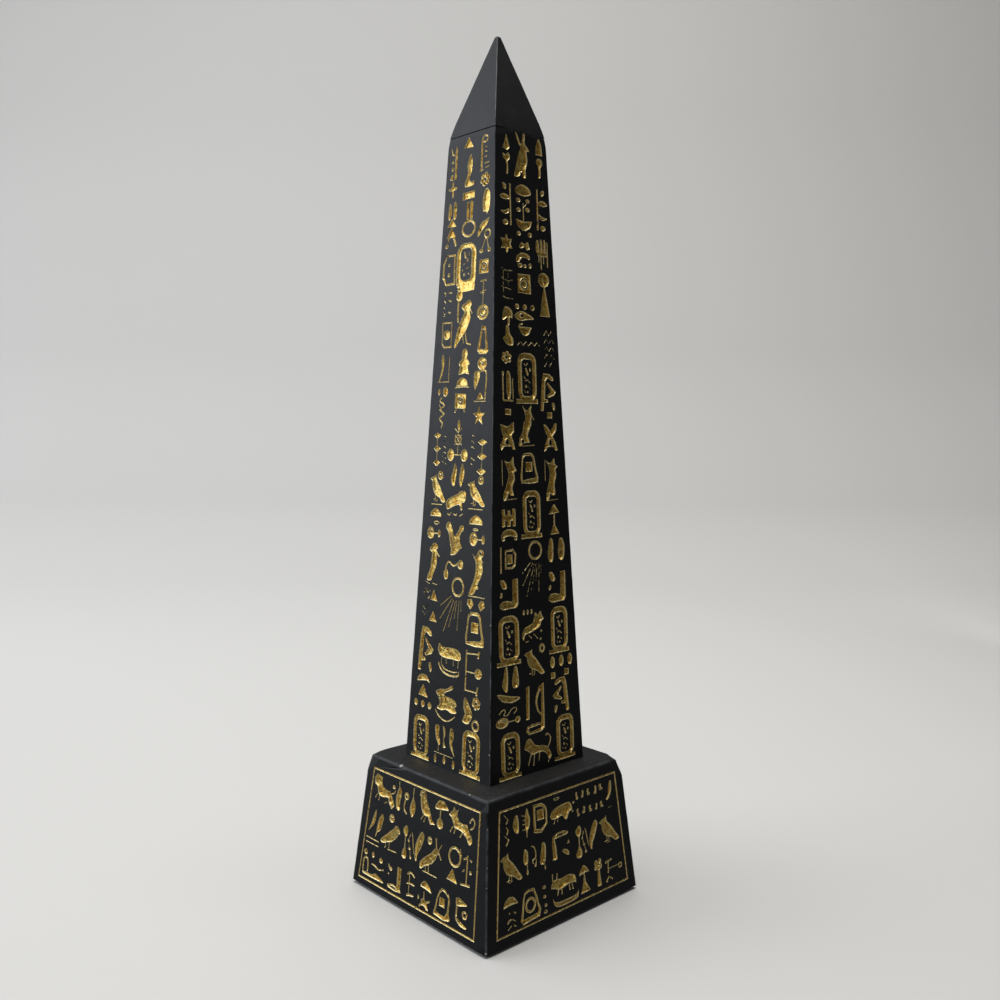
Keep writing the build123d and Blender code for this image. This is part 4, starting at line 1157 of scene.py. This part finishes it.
# %% [markdown]
# ## The top edge
# The rim turns from the leaning faces to the flat top in a few rings. On the pedestal it is wide
# enough to see, so it waves by a few hundredths of a millimetre like the real one. On the other
# two it is one small chamfer. With the rim on, the two ends are closed and the casting is whole.

# %% Round the top edge and close the casting
RIM_WAVE, RIM_WAVE_SCALE = 0.05, 0.8
RIM_WEAR = 0.2
WIDE_RIM = 0.4


def steps_between(start, end, count):
    return [start + (end - start) * k / count for k in range(count + 1)]


class Casting(BentSkin):
    """A closed mesh of four carved faces, soft edges, a rounded or sharp rim, and two ends."""

    def __init__(self, block, soft, levels, across, rim, rubbed, signs_on):
        super().__init__(block, soft)
        top = block.length - rim
        rows, columns = steps_between(0.0, top, levels), steps_between(-1.0, 1.0, across)
        for side in TURNS:
            border = [Vector((x * (block.half(0) - soft), 0)) for x in columns]
            border += [Vector((block.half(v) - soft, v)) for v in rows[1:]]
            border += [Vector((x * (block.half(top) - soft), top)) for x in columns[-2::-1]]
            border += [Vector((-block.half(v) + soft, v)) for v in rows[-2:0:-1]]
            self.add_face(side, border, signs_on(side))
        for side in TURNS:
            self.add_edge(side, rows, rubbed)
        self.add_rim(top, rim, columns)
        self.close_ends()

    def rim_loop(self, t, top, rim, columns):
        """One ring of the top edge, with t running from 0 on the faces to 1 on the flat top."""
        half = self.block.half(top) - rim * t * t
        up = top + rim * (2 * t - t * t)
        height = self.block.foot_z + up * self.block.rise / self.block.length
        sides = [[self.block.turned(side) @ Vector((x * (half - self.soft), -half, height))
                  for x in columns] for side in TURNS]
        loop = []
        for here, following, sheet in zip(sides, sides[1:] + sides[:1], self.sheets.values()):
            along = (here[-1] - here[-2]).normalized()
            corner = here[-1] + along * (following[0] - here[-1]).dot(along)
            soft = bend_points(here[-1], corner, following[0]) if t > 0 else sheet.top_bend
            loop += here[:-1] + soft[:-1]
        return loop

    def add_rim(self, top, rim, columns):
        turns = BEND_STEPS if rim > WIDE_RIM else 1
        loops = [self.rim_loop(turn / turns, top, rim, columns) for turn in range(turns + 1)]
        if turns > 1:
            loops[1:] = [[place + Vector((0, 0, noise.noise(place / MM * RIM_WAVE_SCALE)
                                          * RIM_WAVE * MM)) for place in loop]
                         for loop in loops[1:]]
        for low, high in zip(loops, loops[1:]):
            for k in range(len(low)):
                following = (k + 1) % len(low)
                self.face([low[k], low[following], high[following], high[k]])
        for loop in loops[1:-1]:
            for place in loop:
                self.vertex(place, RIM_WEAR)


print("a rim wider than", WIDE_RIM, "mm is rounded in", BEND_STEPS, "rings")

# %% [markdown]
# ## The shaft
# The shaft was cast in one pour with the rest, so it is a solid block with sunk signs, and its
# corners are rubbed most because that is where it is picked up. Each column of signs has its own
# label, because each column of gold is a piece of its own later.

# %% Cast the shaft
def shaft_signs(side):
    """Every sign on one face of the shaft, each labelled with its column."""
    shown = "front" if side in ("front", "back") else "right"
    columns = SHAFT_FRONT if shown == "front" else SHAFT_RIGHT
    return [(column, shapes, worn) for column, text in columns.items()
            for shapes, worn in read_layout(text, shaft_block.length, SHAFT_DRIFT[shown])]


def declare(piece, node):
    """Puts a piece on the root body in place of its CAD node, which is hidden."""
    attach(piece, "root")
    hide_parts(node)


SHOULDER_REACH = 3
shaft_casting = Casting(shaft_block, soft=0.28, levels=75, across=1, rim=0.25,
                        rubbed=0.8, signs_on=shaft_signs)
for corner in shaft_block.shoulders():
    shaft_casting.blunt(corner, SHOULDER_REACH, depth=0.4)
shaft = shaft_casting.finish("shaft_casting")
declare(shaft, "shaft")

# %% [markdown]
# ## The pedestal
# The pedestal is the same kind of block, lower and wider, with a rounder top edge. Each face has
# a fine line cut round it, nearly parallel to its own slanting sides, and three lines of signs
# inside. A few corners were knocked or never filled in the mould, so they are blunted one by one.

# %% Cast the pedestal
LINE_WIDTH = 0.55
LINE_CORNERS = {
    "front": [(-28.9, 39.3), (26.7, 39.2), (25.4, 3.4), (-24.8, 3.6)],
    "right": [(-27.7, 38.5), (28, 38.1), (24.8, 3.6), (-24, 3.7)],
}
KNOCKS = [
    {"corner": (27.8, 27.8, 42), "reach": 4.5, "depth": 1.3},
    {"corner": (-27.8, -27.8, 42), "reach": 4, "depth": 0.8},
    {"corner": (27.8, -27.8, 42), "reach": 3, "depth": 0.5},
    {"corner": (-12, -27.8, 42), "reach": 1.8, "depth": 0.4},
    {"corner": (31.8, -31.8, 1), "reach": 2, "depth": 0.4},
]


def border_shapes(shown):
    """The hand-cut line round a pedestal face: a box, with a smaller one left standing in it."""
    outer = [Vector((x, pedestal_block.length - below)) for x, below in LINE_CORNERS[shown]]
    middle = sum(outer, Vector((0, 0))) / 4
    inner = [corner - Vector((math.copysign(LINE_WIDTH, (corner - middle).x),
                              math.copysign(LINE_WIDTH, (corner - middle).y)))
             for corner in outer]
    return [(outer, True), (inner, False)]


def pedestal_signs(side):
    """The line round one face of the pedestal and every sign inside it."""
    shown = "front" if side in ("front", "back") else "right"
    text = PEDESTAL_FRONT if shown == "front" else PEDESTAL_RIGHT
    return [("border", border_shapes(shown), False)] + [
        ("pedestal", shapes, worn)
        for shapes, worn in read_layout(text, pedestal_block.length, PEDESTAL_DRIFT[shown])]


pedestal_casting = Casting(pedestal_block, soft=0.6, levels=18, across=24, rim=0.9,
                           rubbed=0.4, signs_on=pedestal_signs)
for knock in KNOCKS:
    pedestal_casting.blunt(**knock)
pedestal = pedestal_casting.finish("pedestal_casting")
declare(pedestal, "pedestal")

# %% [markdown]
# ## The pyramidion
# The plain pyramid on top is a block too, with a tiny square for a tip. The small chamfer of the
# shaft's rim under it draws the fine dark line that sets it off. Its own foot is blunted with the
# shaft's shoulders, so that the two still meet.

# %% Cast the pyramidion
pyramidion_casting = Casting(pyramidion_block, soft=0.25, levels=14, across=1, rim=0.3,
                             rubbed=1.0, signs_on=lambda side: [])
for corner in shaft_block.shoulders():
    pyramidion_casting.blunt(corner, SHOULDER_REACH, depth=0.3)
pyramidion = pyramidion_casting.finish("pyramidion_casting")
declare(pyramidion, "pyramidion")

# %% [markdown]
# ## Gold in the signs
# The gold is brushed on and the face wiped clean, so paint is left on the floor and the walls of
# each sign. It is a thin skin that follows the cut: two nested trays joined along their rim, so
# that each column of gold is a closed shape of its own. Colouring the floor of the cut would be
# less work, but it would leave no piece for each column.

# %% A skin of gold
SKIN_OVER = [(0.02, 0.01), (0.1, 0.05), (0.28, 0.18), (0.4, CUT_DEPTH - 0.05)]
SKIN_UNDER = [(0.02, 0.01), (0.09, 0.065), (0.265, 0.2), (0.37, CUT_DEPTH - 0.02)]
FLOOR = len(SKIN_OVER) - 1


class GoldSkin:
    """The gold in all the signs of one label on one face."""

    def __init__(self, casting, side, label):
        self.sheet, self.matrix = casting.sheets[side], casting.block.matrix(side)
        self.mesh = bmesh.new()
        self.wear = self.mesh.verts.layers.float.new("sign_wear")
        # The second layer says where the gold carries a painted highlight.
        self.shine = self.mesh.verts.layers.float.new("rim_painted_highlight")
        self.made = {}
        for profile in (SKIN_OVER, SKIN_UNDER):
            self.add_tray(profile, label)

    def vertex(self, corner, profile, step, worn):
        """One vertex for each corner and step, and the rim's are shared by the two trays."""
        key = (corner, 0 if step == 0 else profile is SKIN_OVER, step)
        if key not in self.made:
            made = self.mesh.verts.new(self.matrix @ self.sheet.at(corner, *profile[step]))
            made[self.wear] = 1.0 if worn else 0.0
            # The painted highlight covers each wall, and more of a floor the narrower its stroke.
            made[self.shine] = 1.0 if step < FLOOR else 1.0 - self.sheet.room.get(corner, 1.0)
            self.made[key] = made
        return self.made[key]

    def face(self, corners, profile):
        """A face whose front looks out of the gold: up from the upper tray, down from the lower."""
        corners = corners if profile is SKIN_OVER else corners[::-1]
        if len(set(corners)) > 2 and not self.mesh.faces.get(corners):
            self.mesh.faces.new(corners)

    def add_tray(self, profile, label):
        """The floor and the walls of one tray."""
        for triangle, owner in self.sheet.shared:
            if owner and owner[0] == label:
                self.face([self.vertex(corner, profile, FLOOR, owner[1]) for corner in triangle],
                          profile)
        for (a, b), owner in self.sheet.rims.items():
            if owner[0] == label:
                for step in range(FLOOR):
                    self.face([self.vertex(a, profile, step, owner[1]),
                               self.vertex(b, profile, step, owner[1]),
                               self.vertex(b, profile, step + 1, owner[1]),
                               self.vertex(a, profile, step + 1, owner[1])], profile)


print("the gold is", round(SKIN_UNDER[-1][1] - SKIN_OVER[-1][1], 3), "mm thick on the floor")

# %% [markdown]
# ## Every column in gold
# The maker paints column by column, and each column, each block of pedestal signs and each frame
# line is one piece here too. So one of them can be given another gilding, or left bare.

# %% Paint the signs
def gild(casting, side, label, name, node):
    """Puts the gold of one label on one face into the scene, in place of its CAD node."""
    piece = mesh_object(name, GoldSkin(casting, side, label).mesh)
    declare(piece, node)
    return piece


gold_pieces = []
for side in TURNS:
    for column in ("left", "middle", "right"):
        gold_pieces.append(gild(shaft_casting, side, column, f"{side}_{column}_gold",
                                f"{side}_{column}_signs"))
    gold_pieces.append(gild(pedestal_casting, side, "pedestal", f"{side}_pedestal_gold",
                            f"{side}_pedestal_signs"))
    gold_pieces.append(gild(pedestal_casting, side, "border", f"{side}_border_gold",
                            f"{side}_border"))
print(len(gold_pieces), "gold pieces with", sum(len(p.data.polygons) for p in gold_pieces), "faces")

# %% [markdown]
# ## The felt
# The foot is covered with a thin black felt, cut a little inside the pedestal. Its edge is furry,
# so the outline of the pad wanders by a tenth of a millimetre or two, and the pad is fullest a
# little above the shelf, where nothing presses it flat.

# %% Lay the felt pad
FELT_RUFFLE = 0.35
FELT_TRIM = 0.5
FELT_STEPS = 60
FELT_WAVES = 1.7
FELT_SWELL = ((-0.5, 0.0), (0.2, 0.25), (0.3, 0.6), (-0.4, 1.0))


def felt_outline(size, height):
    """The wandering outline of the pad at one height, in metres."""
    half = size / 2
    around = []
    for turn in TURNS.values():
        for k in range(FELT_STEPS):
            x = -half + size * k / FELT_STEPS
            place = Matrix.Rotation(math.radians(turn), 3, "Z") @ Vector((x, -half, height))
            push = noise.noise(place * FELT_WAVES + Vector((0, 0, height * 3))) * FELT_RUFFLE
            around.append((place + place.normalized() * push) * MM)
    return around


felt_size, felt_top = foot_width_of("felt_pad"), height_range("felt_pad")[1]
felt_mesh = bmesh.new()
rings = [[felt_mesh.verts.new(place)
          for place in felt_outline(felt_size - FELT_TRIM + swell, share * felt_top)]
         for swell, share in FELT_SWELL]
for low, high in zip(rings, rings[1:]):
    for k in range(len(low)):
        following = (k + 1) % len(low)
        felt_mesh.faces.new([low[k], low[following], high[following], high[k]])
felt_mesh.faces.new(rings[0][::-1])
felt_mesh.faces.new(rings[-1])
felt = mesh_object("felt", felt_mesh)
declare(felt, "felt_pad")
print("felt pad:", round(felt_size, 1), "mm square and", round(felt_top, 2), "mm thick")

# %% [markdown]
# ## Finishes
# Colours are written as a painter would pick them, in sRGB hex, and Blender wants linear light,
# so one function turns them. One more adds a shader node with its settings and its links. A
# socket is given by its name, or by its number after an underscore where several share a name.

# %% Colour and node helpers
def linear(hex_colour):
    """An sRGB hex colour as linear red, green, blue and alpha."""
    parts = [int(hex_colour[i:i + 2], 16) / 255 for i in (1, 3, 5)]
    return [p / 12.92 if p <= 0.04045 else ((p + 0.055) / 1.055) ** 2.4 for p in parts] + [1]


def add(tree, kind, settings=None, **sockets):
    """Adds a node: settings are its own properties, sockets are values or links."""
    node = tree.nodes.new(kind)
    for name, value in (settings or {}).items():
        setattr(node, name, value)
    for name, value in sockets.items():
        number = name[1:]
        socket = node.inputs[int(number) if number.isdigit() else name.replace("_", " ")]
        if isinstance(value, bpy.types.NodeSocket):
            tree.links.new(value, socket)
        else:
            socket.default_value = value
    return node


def new_material(name):
    """An empty material with a Principled shader wired to its output."""
    material = bpy.data.materials.new(name)
    material.use_nodes = True
    tree = material.node_tree
    tree.nodes.clear()
    shader = add(tree, "ShaderNodeBsdfPrincipled")
    output = add(tree, "ShaderNodeOutputMaterial")
    tree.links.new(shader.outputs[0], output.inputs[0])
    return material, tree, shader


def per_metre(millimetres):
    """A texture scale whose features are about that many millimetres."""
    return 1 / (millimetres * MM)


print("mid grey is", [round(v, 3) for v in linear("#808080")])

# %% [markdown]
# ## Black cast resin: dust and worn edges
# The body is polyester resin filled with mineral powder and blackened, straight from a rubber
# mould. Grey dust settles on what faces up, in specks under a millimetre wide. Where hands rub the
# soft edges, the resin turns grey. Both are colours mixed over the plain one, each by a mask that
# is built from the way a face looks or from the wear that the mesh carries.

# %% Dust and worn edges
DUST_COVER = 0.09


def worn_edges(tree, colour, smear):
    """Greys the edges by the wear that their vertices carry, in uneven patches."""
    edge = add(tree, "ShaderNodeAttribute", {"attribute_name": "edge_wear"})
    patches = add(tree, "ShaderNodeMapRange", Value=smear, From_Min=0.34, From_Max=0.62,
                  To_Max=0.8)
    rubbed = add(tree, "ShaderNodeMath", {"operation": "MULTIPLY"}, _0=edge.outputs["Fac"],
                 _1=patches.outputs[0])
    return add(tree, "ShaderNodeMix", {"data_type": "RGBA"}, _0=rubbed.outputs[0],
               _6=colour, _7=linear("#7f858c")).outputs[2]


def facing_up(tree):
    """1 on what lies flat, falling to 0 on what leans."""
    geometry = add(tree, "ShaderNodeNewGeometry")
    facing = add(tree, "ShaderNodeSeparateXYZ", Vector=geometry.outputs["Normal"])
    return add(tree, "ShaderNodeMapRange", Value=facing.outputs[2], From_Min=0.6,
               From_Max=1.0).outputs[0]


def dusted(tree, colour, upward, specks):
    """Lays specks of dust on what faces up."""
    settled = add(tree, "ShaderNodeMapRange", Value=specks, From_Min=0.42, From_Max=0.68,
                  To_Max=DUST_COVER)
    dust = add(tree, "ShaderNodeMath", {"operation": "MULTIPLY"}, _0=upward,
               _1=settled.outputs[0])
    return add(tree, "ShaderNodeMix", {"data_type": "RGBA"}, _0=dust.outputs[0],
               _6=colour, _7=linear("#7d7b75")).outputs[2]


print("dust covers at most", DUST_COVER, "of what faces up")

# %% [markdown]
# ## Black cast resin: nicks
# Where an edge was nicked, the pale filler shows. Each nick is a small ball in space: what lies
# within it turns pale, and the dust noise frays its border. A nick needs no geometry, because the
# deepest is a few tenths of a millimetre.

# %% Nicks in the edges
NICKS = [(-12, -27.4, 41.9, 1.3), (28.5, -28.5, 34.5, 0.45), (29, -29, 29.8, 0.35),
         (29.5, -29.5, 24.3, 0.5), (30, -30, 19, 0.4), (31.5, -31.5, 1.6, 0.7),
         (20, -27.6, 41.9, 0.4), (17.2, -17.4, 88, 0.4), (18.9, -19.2, 51, 0.5),
         (15.1, -15.3, 130, 0.3)]


def nicked(tree, colour, place, specks):
    """Bares the pale filler in each nick, given as x, y, z and size in millimetres."""
    for x, y, z, size in NICKS:
        away = add(tree, "ShaderNodeVectorMath", {"operation": "DISTANCE"}, _0=place,
                   _1=(x * MM, y * MM, z * MM))
        ragged = add(tree, "ShaderNodeMath", {"operation": "MULTIPLY_ADD"}, _0=specks,
                     _1=size * MM * 1.2, _2=away.outputs["Value"])
        nick = add(tree, "ShaderNodeMapRange", Value=ragged.outputs[0], From_Min=0.9 * size * MM,
                   From_Max=1.2 * size * MM, To_Min=0.9, To_Max=0.0)
        colour = add(tree, "ShaderNodeMix", {"data_type": "RGBA"}, _0=nick.outputs[0],
                     _6=colour, _7=linear("#b9b5aa")).outputs[2]
    return colour


print(len(NICKS), "nicks")

# %% [markdown]
# ## Black cast resin: the whole finish
# The binder's IOR is 1.5, and the powder at its surface makes it satin, with a roughness near 0.5
# and few flat facets to shine. It is rougher still where dust lies. It has soft hollows the width
# of a fingertip where it shrank, and handling leaves smears about half as wide. Its real pebble
# is about 0.1 mm, too fine to show, so it is drawn at 0.45 mm.

# %% Make the black resin
POWDER_GRAIN = 0.45
SHRINK_HOLLOWS = 9.0
HANDLING_SMEARS = 5.0
DUST_SPECKS = 0.8


def black_resin():
    material, tree, shader = new_material("black_cast_resin")
    place = add(tree, "ShaderNodeTexCoord").outputs["Object"]
    grain = add(tree, "ShaderNodeTexNoise", Vector=place, Scale=per_metre(POWDER_GRAIN), Detail=3.0)
    hollows = add(tree, "ShaderNodeTexNoise", Vector=place, Scale=per_metre(SHRINK_HOLLOWS),
                  Detail=2.0)
    smear = add(tree, "ShaderNodeTexNoise", Vector=place, Scale=per_metre(HANDLING_SMEARS),
                Detail=5.0, Roughness=0.65).outputs[0]
    specks = add(tree, "ShaderNodeTexNoise", Vector=place, Scale=per_metre(DUST_SPECKS),
                 Detail=4.0).outputs[0]
    colour = add(tree, "ShaderNodeMix", {"data_type": "RGBA"}, _0=smear,
                 _6=linear("#050506"), _7=linear("#0e0f12")).outputs[2]
    upward = facing_up(tree)
    colour = worn_edges(tree, colour, smear)
    colour = dusted(tree, colour, upward, specks)
    colour = nicked(tree, colour, place, specks)
    satin = add(tree, "ShaderNodeMapRange", Value=smear, To_Min=0.44, To_Max=0.58)
    matt = add(tree, "ShaderNodeMath", {"operation": "MULTIPLY_ADD"}, _0=upward,
               _1=0.1, _2=satin.outputs[0])
    pebble = add(tree, "ShaderNodeBump", Strength=0.3, Distance=0.08 * MM, Height=grain.outputs[0])
    uneven = add(tree, "ShaderNodeBump", Strength=0.3, Distance=0.6 * MM, Height=hollows.outputs[0],
                 Normal=pebble.outputs[0])
    tree.links.new(colour, shader.inputs["Base Color"])
    tree.links.new(matt.outputs[0], shader.inputs["Roughness"])
    tree.links.new(uneven.outputs[0], shader.inputs["Normal"])
    shader.inputs["IOR"].default_value = 1.5
    return material


resin = black_resin()
for piece in (shaft, pedestal, pyramidion):
    piece.data.materials.append(resin)
print("resin on", shaft.name, pedestal.name, pyramidion.name)

# %% [markdown]
# ## Gold paint: where it holds
# It is bronze powder in varnish, not leaf. It pools on the floor of a sign in browner patches a
# bit over a millimetre wide. Where the brush missed, or fingers rubbed, the black shows through,
# and the worn signs keep only flecks: their wear lowers the noise that says where paint is left.

# %% Colour the gold and bare the black
PAINT_POOLS = 1.3
BARE_SPOTS = 1.1


def gold_colour(tree, place, rim):
    """Browner in the pools, and painted pale on the rims and narrow strokes as a painted highlight.
    """
    pools = add(tree, "ShaderNodeTexNoise", Vector=place, Scale=per_metre(PAINT_POOLS), Detail=5.0,
                Roughness=0.6)
    pooled = add(tree, "ShaderNodeMapRange", Value=pools.outputs[0], From_Min=0.35, From_Max=0.6)
    floor = add(tree, "ShaderNodeMix", {"data_type": "RGBA"}, _0=pooled.outputs[0],
                _6=linear("#d49a36"), _7=linear("#ffe488"))
    # The pale colour on the rims and narrow strokes is a painted highlight.
    return add(tree, "ShaderNodeMix", {"data_type": "RGBA"}, _0=rim,
               _6=floor.outputs[2], _7=linear("#ffecac")).outputs[2]


def bare_of_paint(tree, place):
    """1 where the black shows through, most of all in the worn signs."""
    bare = add(tree, "ShaderNodeTexNoise", Vector=place, Scale=per_metre(BARE_SPOTS), Detail=6.0,
               Roughness=0.7)
    wear = add(tree, "ShaderNodeAttribute", {"attribute_name": "sign_wear"})
    kept = add(tree, "ShaderNodeMath", {"operation": "MULTIPLY_ADD"}, _0=wear.outputs["Fac"],
               _1=-0.12, _2=bare.outputs[0])
    return add(tree, "ShaderNodeMapRange", Value=kept.outputs[0], From_Min=0.35, From_Max=0.41,
               To_Min=1.0, To_Max=0.0).outputs[0]


print("paint pools every", PAINT_POOLS, "mm")

# %% [markdown]
# ## Gold paint: metal and brush
# The powder is metallic, but grainy and never mirror-bright. Metal keeps the default IOR, and its
# roughness runs from 0.2 to 0.38 with the brush, whose marks are about a millimetre wide. The rims,
# and in part the narrowest strokes, carry a painted highlight: they are painted pale and made less
# metallic, down to two-thirds on the rims, so that they look bright from every side. Single flakes
# are a few hundredths of a millimetre, too fine to show, so they are drawn at 0.25 mm.

# %% Make the gold paint
POWDER_FLAKE = 0.25
BRUSH_MARKS = 1.1


def gold_paint():
    material, tree, shader = new_material("gold_paint")
    place = add(tree, "ShaderNodeTexCoord").outputs["Object"]
    # This layer says where the rims carry a painted highlight: pale and less metallic.
    rim = add(tree, "ShaderNodeAttribute", {"attribute_name": "rim_painted_highlight"}).outputs["Fac"]
    gone = bare_of_paint(tree, place)
    colour = add(tree, "ShaderNodeMix", {"data_type": "RGBA"}, _0=gone,
                 _6=gold_colour(tree, place, rim), _7=linear("#1c1812"))
    # Metallic drops to two-thirds where the highlight is painted, so the rims look bright from every
    # side.
    rim_metal = add(tree, "ShaderNodeMath", {"operation": "MULTIPLY_ADD"}, _0=rim, _1=-0.25, _2=0.92)
    metal = add(tree, "ShaderNodeMath", {"operation": "MULTIPLY_ADD", "use_clamp": True},
                _0=gone, _1=-0.9, _2=rim_metal.outputs[0])
    flake = add(tree, "ShaderNodeTexNoise", Vector=place, Scale=per_metre(POWDER_FLAKE), Detail=3.0)
    brush = add(tree, "ShaderNodeTexNoise", Vector=place, Scale=per_metre(BRUSH_MARKS), Detail=3.0)
    gloss = add(tree, "ShaderNodeMapRange", Value=brush.outputs[0], From_Min=0.3, From_Max=0.7,
                To_Min=0.2, To_Max=0.38)
    grains = add(tree, "ShaderNodeBump", Strength=0.35, Distance=0.2 * MM, Height=flake.outputs[0])
    strokes = add(tree, "ShaderNodeBump", Strength=1.0, Distance=0.3 * MM, Height=brush.outputs[0],
                  Normal=grains.outputs[0])
    tree.links.new(colour.outputs[2], shader.inputs["Base Color"])
    tree.links.new(metal.outputs[0], shader.inputs["Metallic"])
    tree.links.new(gloss.outputs[0], shader.inputs["Roughness"])
    tree.links.new(strokes.outputs[0], shader.inputs["Normal"])
    return material


gold = gold_paint()
for piece in gold_pieces:
    piece.data.materials.append(gold)
print("gold on", len(gold_pieces), "pieces")

# %% [markdown]
# ## Felt
# Wool felt has no weave, only matted fibres, so it is a rough black with a soft sheen at its edge
# and a bump of tangled hairs. A fibre is 0.02 mm thick, too fine to show, so the tangle is drawn
# at 0.3 mm.

# %% Make the felt
FELT_TANGLE = 0.3


def black_felt():
    material, tree, shader = new_material("wool_felt")
    place = add(tree, "ShaderNodeTexCoord").outputs["Object"]
    hairs = add(tree, "ShaderNodeTexNoise", Vector=place, Scale=per_metre(FELT_TANGLE), Detail=4.0)
    colour = add(tree, "ShaderNodeMix", {"data_type": "RGBA"}, _0=hairs.outputs[0],
                 _6=linear("#060607"), _7=linear("#26262b"))
    bumps = add(tree, "ShaderNodeBump", Strength=0.8, Distance=0.2 * MM, Height=hairs.outputs[0])
    tree.links.new(colour.outputs[2], shader.inputs["Base Color"])
    tree.links.new(bumps.outputs[0], shader.inputs["Normal"])
    shader.inputs["Roughness"].default_value = 0.95
    shader.inputs["Sheen Weight"].default_value = 0.3
    return material


felt.data.materials.append(black_felt())
print("felt on", felt.name)

# %% [markdown]
# ## The floor
# The object stands on a pale paper floor that curves up behind it, so that no horizon cuts the
# view. The real one stands on a dark shelf. Pale paper mirrored in its faces would wash the black
# out, so the floor is hidden from mirror reflections, while it still lights the object softly.

# %% Lay the floor
FLOOR_TURN = 47


def backdrop():
    """A pale sheet: flat under the object, and swept up behind it."""
    profile = [(-3.0, 0.0), (0.6, 0.0), (0.9, 0.05), (1.1, 0.25), (1.2, 0.6), (1.2, 1.6)]
    mesh = bmesh.new()
    rows = [[mesh.verts.new((x, y, z)) for y, z in profile] for x in (-3.0, 3.0)]
    for k in range(len(profile) - 1):
        mesh.faces.new([rows[0][k], rows[1][k], rows[1][k + 1], rows[0][k + 1]])
    for face in mesh.faces:
        face.smooth = True
    sheet = mesh_object("pale_floor", mesh)
    sheet.rotation_euler.z = math.radians(FLOOR_TURN)
    return sheet


floor = backdrop()
floor_material, floor_tree, floor_shader = new_material("pale_paper")
floor_shader.inputs["Base Color"].default_value = linear("#dcdad6")
floor_shader.inputs["Roughness"].default_value = 0.9
floor.data.materials.append(floor_material)
floor.visible_glossy = False
print("floor:", len(floor.data.polygons), "strips of paper")

# %% [markdown]
# ## The lamps
# One large soft lamp at the left stands in for a window, and is a touch cooler than white as
# daylight is. A second hangs overhead like a pale ceiling. Large lamps give the black faces a
# broad, even shine, where a small one would leave hot spots in the gold alone.

# %% Hang the lamps
LAMPS_AIM = Vector((0, 0, 0.13))


def soft_light(name, azimuth, elevation, distance, size, power, colour):
    """A square lamp that faces the middle of the obelisk."""
    lamp = bpy.data.lights.new(name, "AREA")
    lamp.size, lamp.energy, lamp.color = size, power, linear(colour)[:3]
    turn, lift = math.radians(azimuth), math.radians(elevation)
    out = Vector((math.sin(turn) * math.cos(lift), -math.cos(turn) * math.cos(lift), math.sin(lift)))
    hung = new_object(name, lamp)
    hung.location = out * distance + LAMPS_AIM
    hung.rotation_euler = out.to_track_quat("Z", "Y").to_euler()
    print(name, "hangs", round(hung.location.z, 2), "m up")


soft_light("window_light", azimuth=-50, elevation=22, distance=1.4, size=1.4, power=11,
           colour="#eef5ff")
soft_light("ceiling_light", azimuth=0, elevation=88, distance=1.3, size=1.0, power=17,
           colour="#ffffff")

# %% [markdown]
# ## A grey card and a dim room
# Black resin is mostly seen by what it mirrors. The side that faces away from the window has a
# dark room beside it, so a grey card stands there, out of the frame and hidden from the camera.
# The rest of the room is a dim, even white.

# %% Stand a grey card beside it
def dark_card(azimuth, distance, size):
    """A grey card beside the object, out of the frame, that one side mirrors instead of paper."""
    data = bpy.data.meshes.new("grey_card")
    half, turn = size / 2, math.radians(azimuth)
    data.from_pydata([(-half, 0, 0), (half, 0, 0), (half, 0, size), (-half, 0, size)], [],
                     [(0, 1, 2, 3)])
    card = new_object("grey_card", data)
    card.location = Vector((math.sin(turn), -math.cos(turn), 0)) * distance
    card.rotation_euler.z = turn
    card.visible_camera = False
    card_material, _, card_shader = new_material("grey_card")
    card_shader.inputs["Base Color"].default_value = linear("#3c3c3c")
    card_shader.inputs["Roughness"].default_value = 1.0
    data.materials.append(card_material)


dark_card(azimuth=133, distance=0.32, size=0.7)
world = bpy.data.worlds.new("room")
bpy.context.scene.world = world
world.use_nodes = True
room_light = world.node_tree.nodes["Background"]
room_light.inputs["Color"].default_value = linear("#ffffff")
room_light.inputs["Strength"].default_value = 0.1
print("the room's own light is", round(room_light.inputs["Strength"].default_value, 2))

# %% [markdown]
# ## The camera
# The view is that of someone who leans down to the shelf: one corner is turned forward, and the
# eye is a little above the middle of the shaft. A wide lens from close by makes the pedestal look
# large and the shaft lean back, as it does in the hand. The camera is tipped by a third of a
# degree, because nobody holds one level.

# %% Place the camera
CAMERA_PLACE = Vector((226.2, -206.7, 145.2)) * MM
azimuth, elevation, roll = (math.radians(angle) for angle in (47.32, 4.31, 0.29))
back = Vector((math.sin(azimuth) * math.cos(elevation),
               -math.cos(azimuth) * math.cos(elevation), math.sin(elevation)))

camera_data = bpy.data.cameras.new("camera")
camera_data.lens, camera_data.sensor_width, camera_data.clip_start = 36.0, 36.0, 0.01
camera = new_object("camera", camera_data)
camera.matrix_world = (Matrix.Translation(CAMERA_PLACE)
                       @ back.to_track_quat("Z", "Y").to_matrix().to_4x4()
                       @ Matrix.Rotation(roll, 4, "Z"))
bpy.context.scene.camera = camera
bpy.context.scene.view_settings.view_transform = "Standard"
print("camera", round(CAMERA_PLACE.xy.length, 2), "m from the obelisk's axis")
